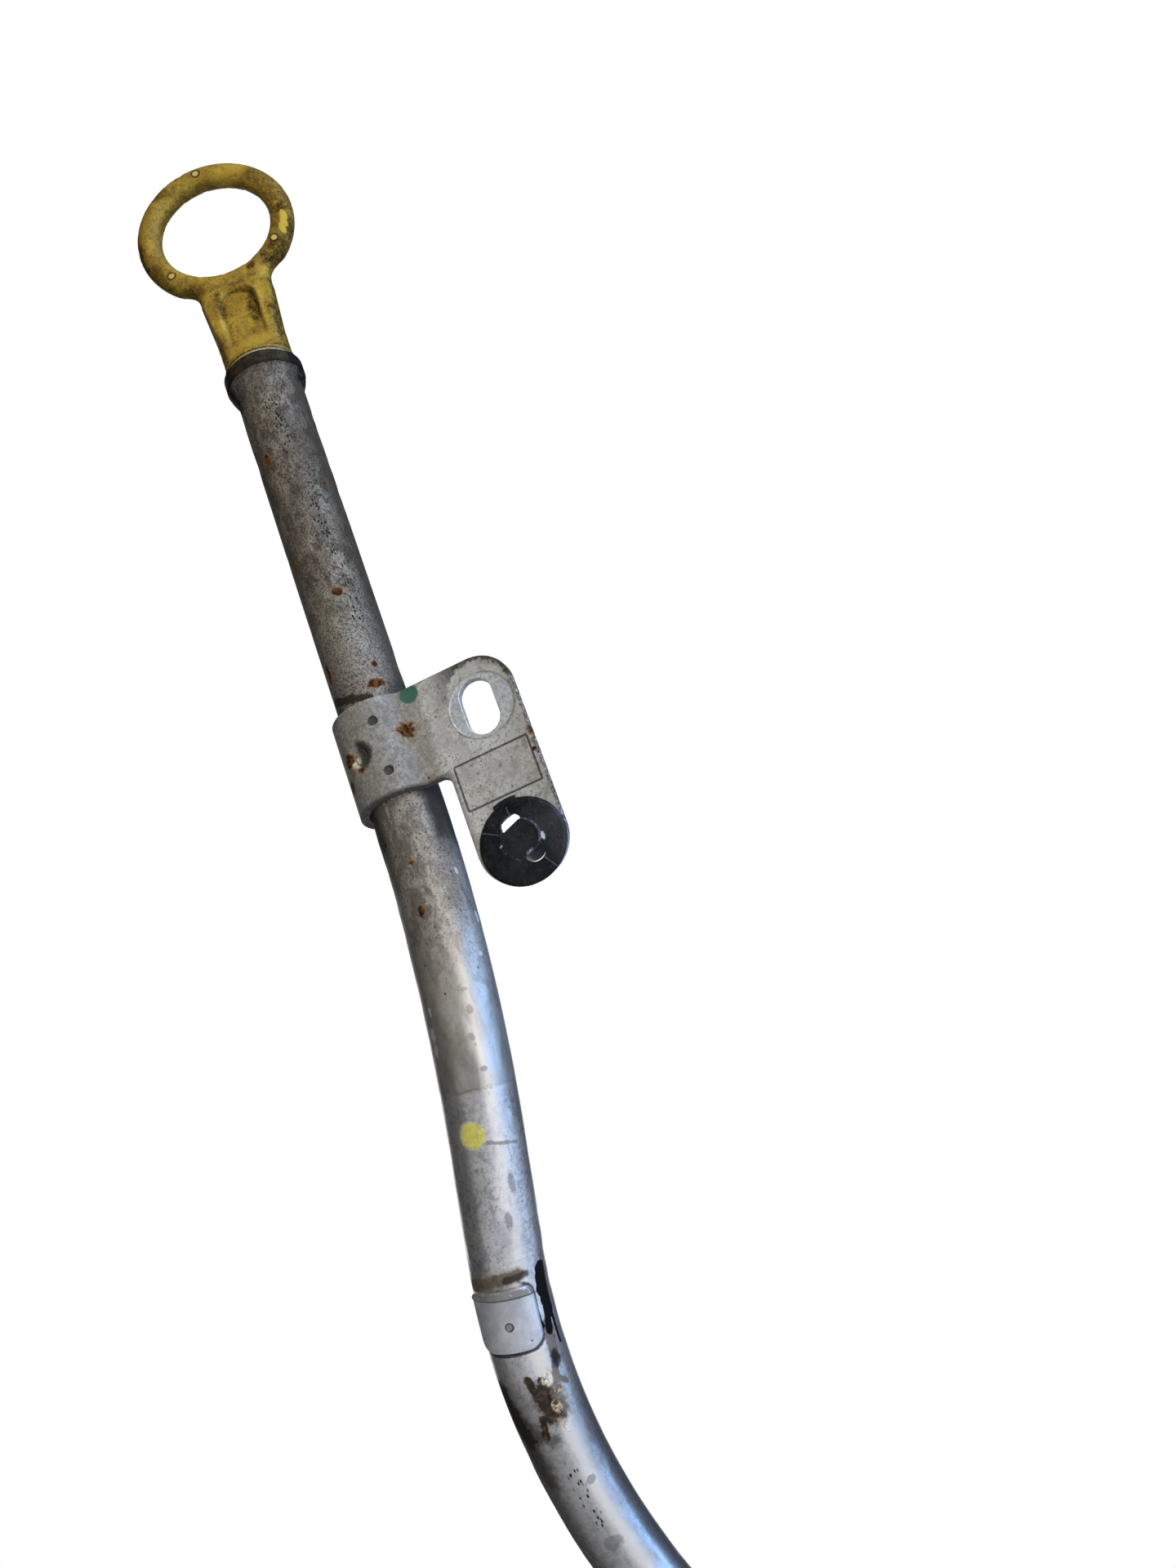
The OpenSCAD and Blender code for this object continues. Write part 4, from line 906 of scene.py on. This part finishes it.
def put_points(mesh, points):
    mesh.vertices.foreach_set("co", (points * MM).ravel())
    mesh.update()


def eased(values, low, high):
    """Array brought from low..high to 0..1, smooth at both ends."""
    t = np.clip((values - low) / (high - low), 0, 1)
    return t * t * (3 - 2 * t)


def settle(mesh, values, free, rounds):
    """Evens out a value over the mesh where free is above 0, round by round."""
    edges = np.empty(len(mesh.edges) * 2, dtype=np.int64)
    mesh.edges.foreach_get("vertices", edges)
    one, two = edges.reshape(-1, 2).T
    near = (free[one] > 0) | (free[two] > 0)
    one, two, many = one[near], two[near], len(values)
    count = np.maximum(1, np.bincount(one, minlength=many) + np.bincount(two, minlength=many))
    for _ in range(rounds):
        total = np.bincount(one, values[two], many) + np.bincount(two, values[one], many)
        values += free * (total / count - values)


def shape_bracket(mesh):
    """Swept root between collar and plate, and a wide punched dimple in the collar."""
    points, normals = points_of(mesh)
    x, y, z = points.T
    free = eased(x, -20.0, -17.5) * eased(x, -9.5, -13.0) * (normals[:, 1] < -0.5) * (y < 0.6)
    free *= eased(np.abs(z), COLLAR_HALF - 0.4, COLLAR_HALF - 0.9)
    settle(mesh, y, free, ROOT_ROUNDS)

    away = np.stack([x - DIMPLE[0], y - DIMPLE[1], z - DIMPLE[2]], axis=1)
    far = np.sqrt((away ** 2).sum(axis=1))
    outside = np.hypot(x - TUBE_X, y - TUBE_Y) > COLLAR_R - 0.7
    depth = DIMPLE_DEPTH * eased(far, DIMPLE_R, DIMPLE_R * 0.45) * outside
    flat = np.stack([x - TUBE_X, y - TUBE_Y, 0 * z], axis=1)
    flat /= np.maximum(1e-6, np.sqrt((flat ** 2).sum(axis=1)))[:, None]
    put_points(mesh, np.stack([x, y, z], axis=1) - flat * depth[:, None])


def shape_handle(mesh):
    """Blend of ring and stem, groove and ridge along the stem's arch, and pits of wear all over."""
    points, normals = points_of(mesh)
    x, y, z = points.T
    below_ring = RING_Z - np.sqrt(np.maximum(0, (RING_R + RING_HALF) ** 2 - (x - TUBE_X) ** 2))
    free = eased(np.abs(z - below_ring), NECK_REACH, NECK_REACH * 0.4) * eased(np.abs(x - TUBE_X), 5.0, 7.0)
    free *= (z < RING_Z) * eased(np.abs(x - TUBE_X), 13.5, 10.5)
    for values in (x, y, z):
        settle(mesh, values, free, NECK_ROUNDS)
    put_points(mesh, np.stack([x, y, z], axis=1))
    points, normals = points_of(mesh)
    turn = math.radians(HANDLE_TURN)
    across = (points[:, 0] - TUBE_X) * math.cos(turn) + (points[:, 1] - TUBE_Y) * math.sin(turn)
    facing = np.abs(-normals[:, 0] * math.sin(turn) + normals[:, 1] * math.cos(turn))
    z = points[:, 2]
    round_z = ARCH_TOP - ARCH_HALF
    out = np.where(z > round_z, np.hypot(across, z - round_z), np.abs(across)) - ARCH_HALF
    shown = eased(z, FLANGE_TOP + 2, FLANGE_TOP + 9) * eased(facing, 0.6, 0.85)
    shown *= eased(z, ARCH_TOP + 2.4, ARCH_TOP + 1.6)
    lift = 0.26 * np.exp(-((out - 1.0) / 0.6) ** 2) - 0.42 * np.exp(-((out + 0.1) / 0.5) ** 2)
    body = eased(z, FLANGE_TOP + 0.6, FLANGE_TOP + 2)
    worn = np.array([noise.fractal(Vector(p) * 0.35, 0.8, 2.0, 4) for p in points])
    lift = lift * shown - np.clip(worn - 0.1, 0, 1) * 0.22 * body
    put_points(mesh, points + normals * lift[:, None])


def dress(obj, material):
    obj.data.materials.clear()
    obj.data.materials.append(material)


def make_camera():
    """The photograph's camera, found by fitting the CAD model's edges to it."""
    data = bpy.data.cameras.new("camera")
    data.sensor_width = 36
    data.lens = 38.13
    data.clip_start, data.clip_end = 0.01, 20
    cam = bpy.data.objects.new("camera", data)
    bpy.context.scene.collection.objects.link(cam)
    right = Vector((0.8932, 0.3049, -0.3305)).normalized()
    ahead = Vector((-0.1787, 0.9151, 0.3615)).normalized()
    up = right.cross(ahead).normalized()
    right = ahead.cross(up)
    turn = Matrix((right, up, -ahead)).transposed().to_4x4()
    cam.matrix_world = Matrix.Translation(Vector((75.15, -306.58, -147.35)) * MM) @ turn
    bpy.context.scene.camera = cam
    return cam


def area_light(name, target, direction, distance, size, power, color):
    """Soft light that shines at a target from a direction."""
    data = bpy.data.lights.new(name, "AREA")
    data.shape = "RECTANGLE"
    data.size, data.size_y = size
    data.energy = power
    data.color = color
    obj = bpy.data.objects.new(name, data)
    bpy.context.scene.collection.objects.link(obj)
    place = Vector(target) + Vector(direction).normalized() * distance
    obj.location = place
    obj.rotation_euler = (Vector(target) - place).to_track_quat("-Z", "Y").to_euler()
    return obj


def make_stage():
    """Pale floor below the part, a white surround and soft lights: a warm one in front, a blue one at the right."""
    floor = new_object("floor", [(-0.6, -0.5, -0.345), (0.6, -0.5, -0.345), (0.6, 0.7, -0.345),
                                 (-0.6, 0.7, -0.345)], [(0, 1, 2, 3)])
    dress(floor, Nodes("pale_floor").set(color=srgb(218, 214, 206), rough=0.9, specular=0.1))

    world = bpy.data.worlds.new("surround")
    bpy.context.scene.world = world
    world.use_nodes = True
    tree = world.node_tree
    shown = tree.nodes.new("ShaderNodeBackground")
    shown.inputs["Color"].default_value = (1, 1, 1, 1)
    lit = tree.nodes["Background"]
    lit.inputs["Color"].default_value = (0.93, 0.96, 1.0, 1)
    lit.inputs["Strength"].default_value = 0.15
    pick = tree.nodes.new("ShaderNodeMixShader")
    path = tree.nodes.new("ShaderNodeLightPath")
    tree.links.new(path.outputs["Is Camera Ray"], pick.inputs["Fac"])
    tree.links.new(lit.outputs[0], pick.inputs[1])
    tree.links.new(shown.outputs[0], pick.inputs[2])
    tree.links.new(pick.outputs[0], tree.nodes["World Output"].inputs["Surface"])

    middle = (-0.02, 0.01, -0.03)
    area_light("key", middle, (0.60, -0.76, 0.28), 0.9, (0.34, 1.1), 8.8, (1.0, 0.96, 0.9))
    area_light("window", middle, (1.0, -0.02, 0.30), 0.8, (0.6, 1.2), 14.0, (0.25, 0.49, 1.0))
    area_light("back", middle, (-0.45, 1.0, 0.35), 1.0, (0.9, 0.9), 4.0, (1.0, 0.98, 0.95))
    area_light("fill", middle, (-0.35, -0.9, 0.1), 1.0, (0.8, 0.8), 1.3, (1.0, 0.98, 0.95))
    bpy.context.scene.view_settings.view_transform = "Standard"


def main():
    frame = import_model()
    nodes = frame["nodes"]
    make_camera()
    make_stage()

    tube = lathe_along("guide_tube_drawn", tube_profile())
    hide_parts("guide_tube")
    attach(tube, "root")
    dress(tube, tube_material())

    bracket = moulded(nodes["bracket"], "bracket_pressed", 0.17, 4, 0.4, shape_bracket)
    dress(bracket, bracket_material())

    pad = moulded(nodes["saddle_pad"], "saddle_pad_pressed", 0.13, 3)
    dress(pad, pad_material())

    clip = moulded(nodes["push_clip"], "push_clip_moulded", 0.14, 3, 0.5)
    dress(clip, clip_material())

    handle = moulded(nodes["handle"], "handle_moulded", 0.26, 8, 0.6, shape_handle)
    dress(handle, handle_material())

    dress(nodes["mouth_seal"], seal_material())
    rubber = black_material("seal_rubber", srgb(22, 20, 18), 0.7, srgb(44, 40, 34), 0.6)
    for name in ("upper_plug_seal", "lower_plug_seal", "foot_seal"):
        dress(nodes[name], rubber)
    steel = steel_material("rod_steel", srgb(176, 175, 172))
    for name in ("rod_ferrule", "gauge_rod", "blade_sleeve", "gauge_blade"):
        dress(nodes[name], steel)


main()
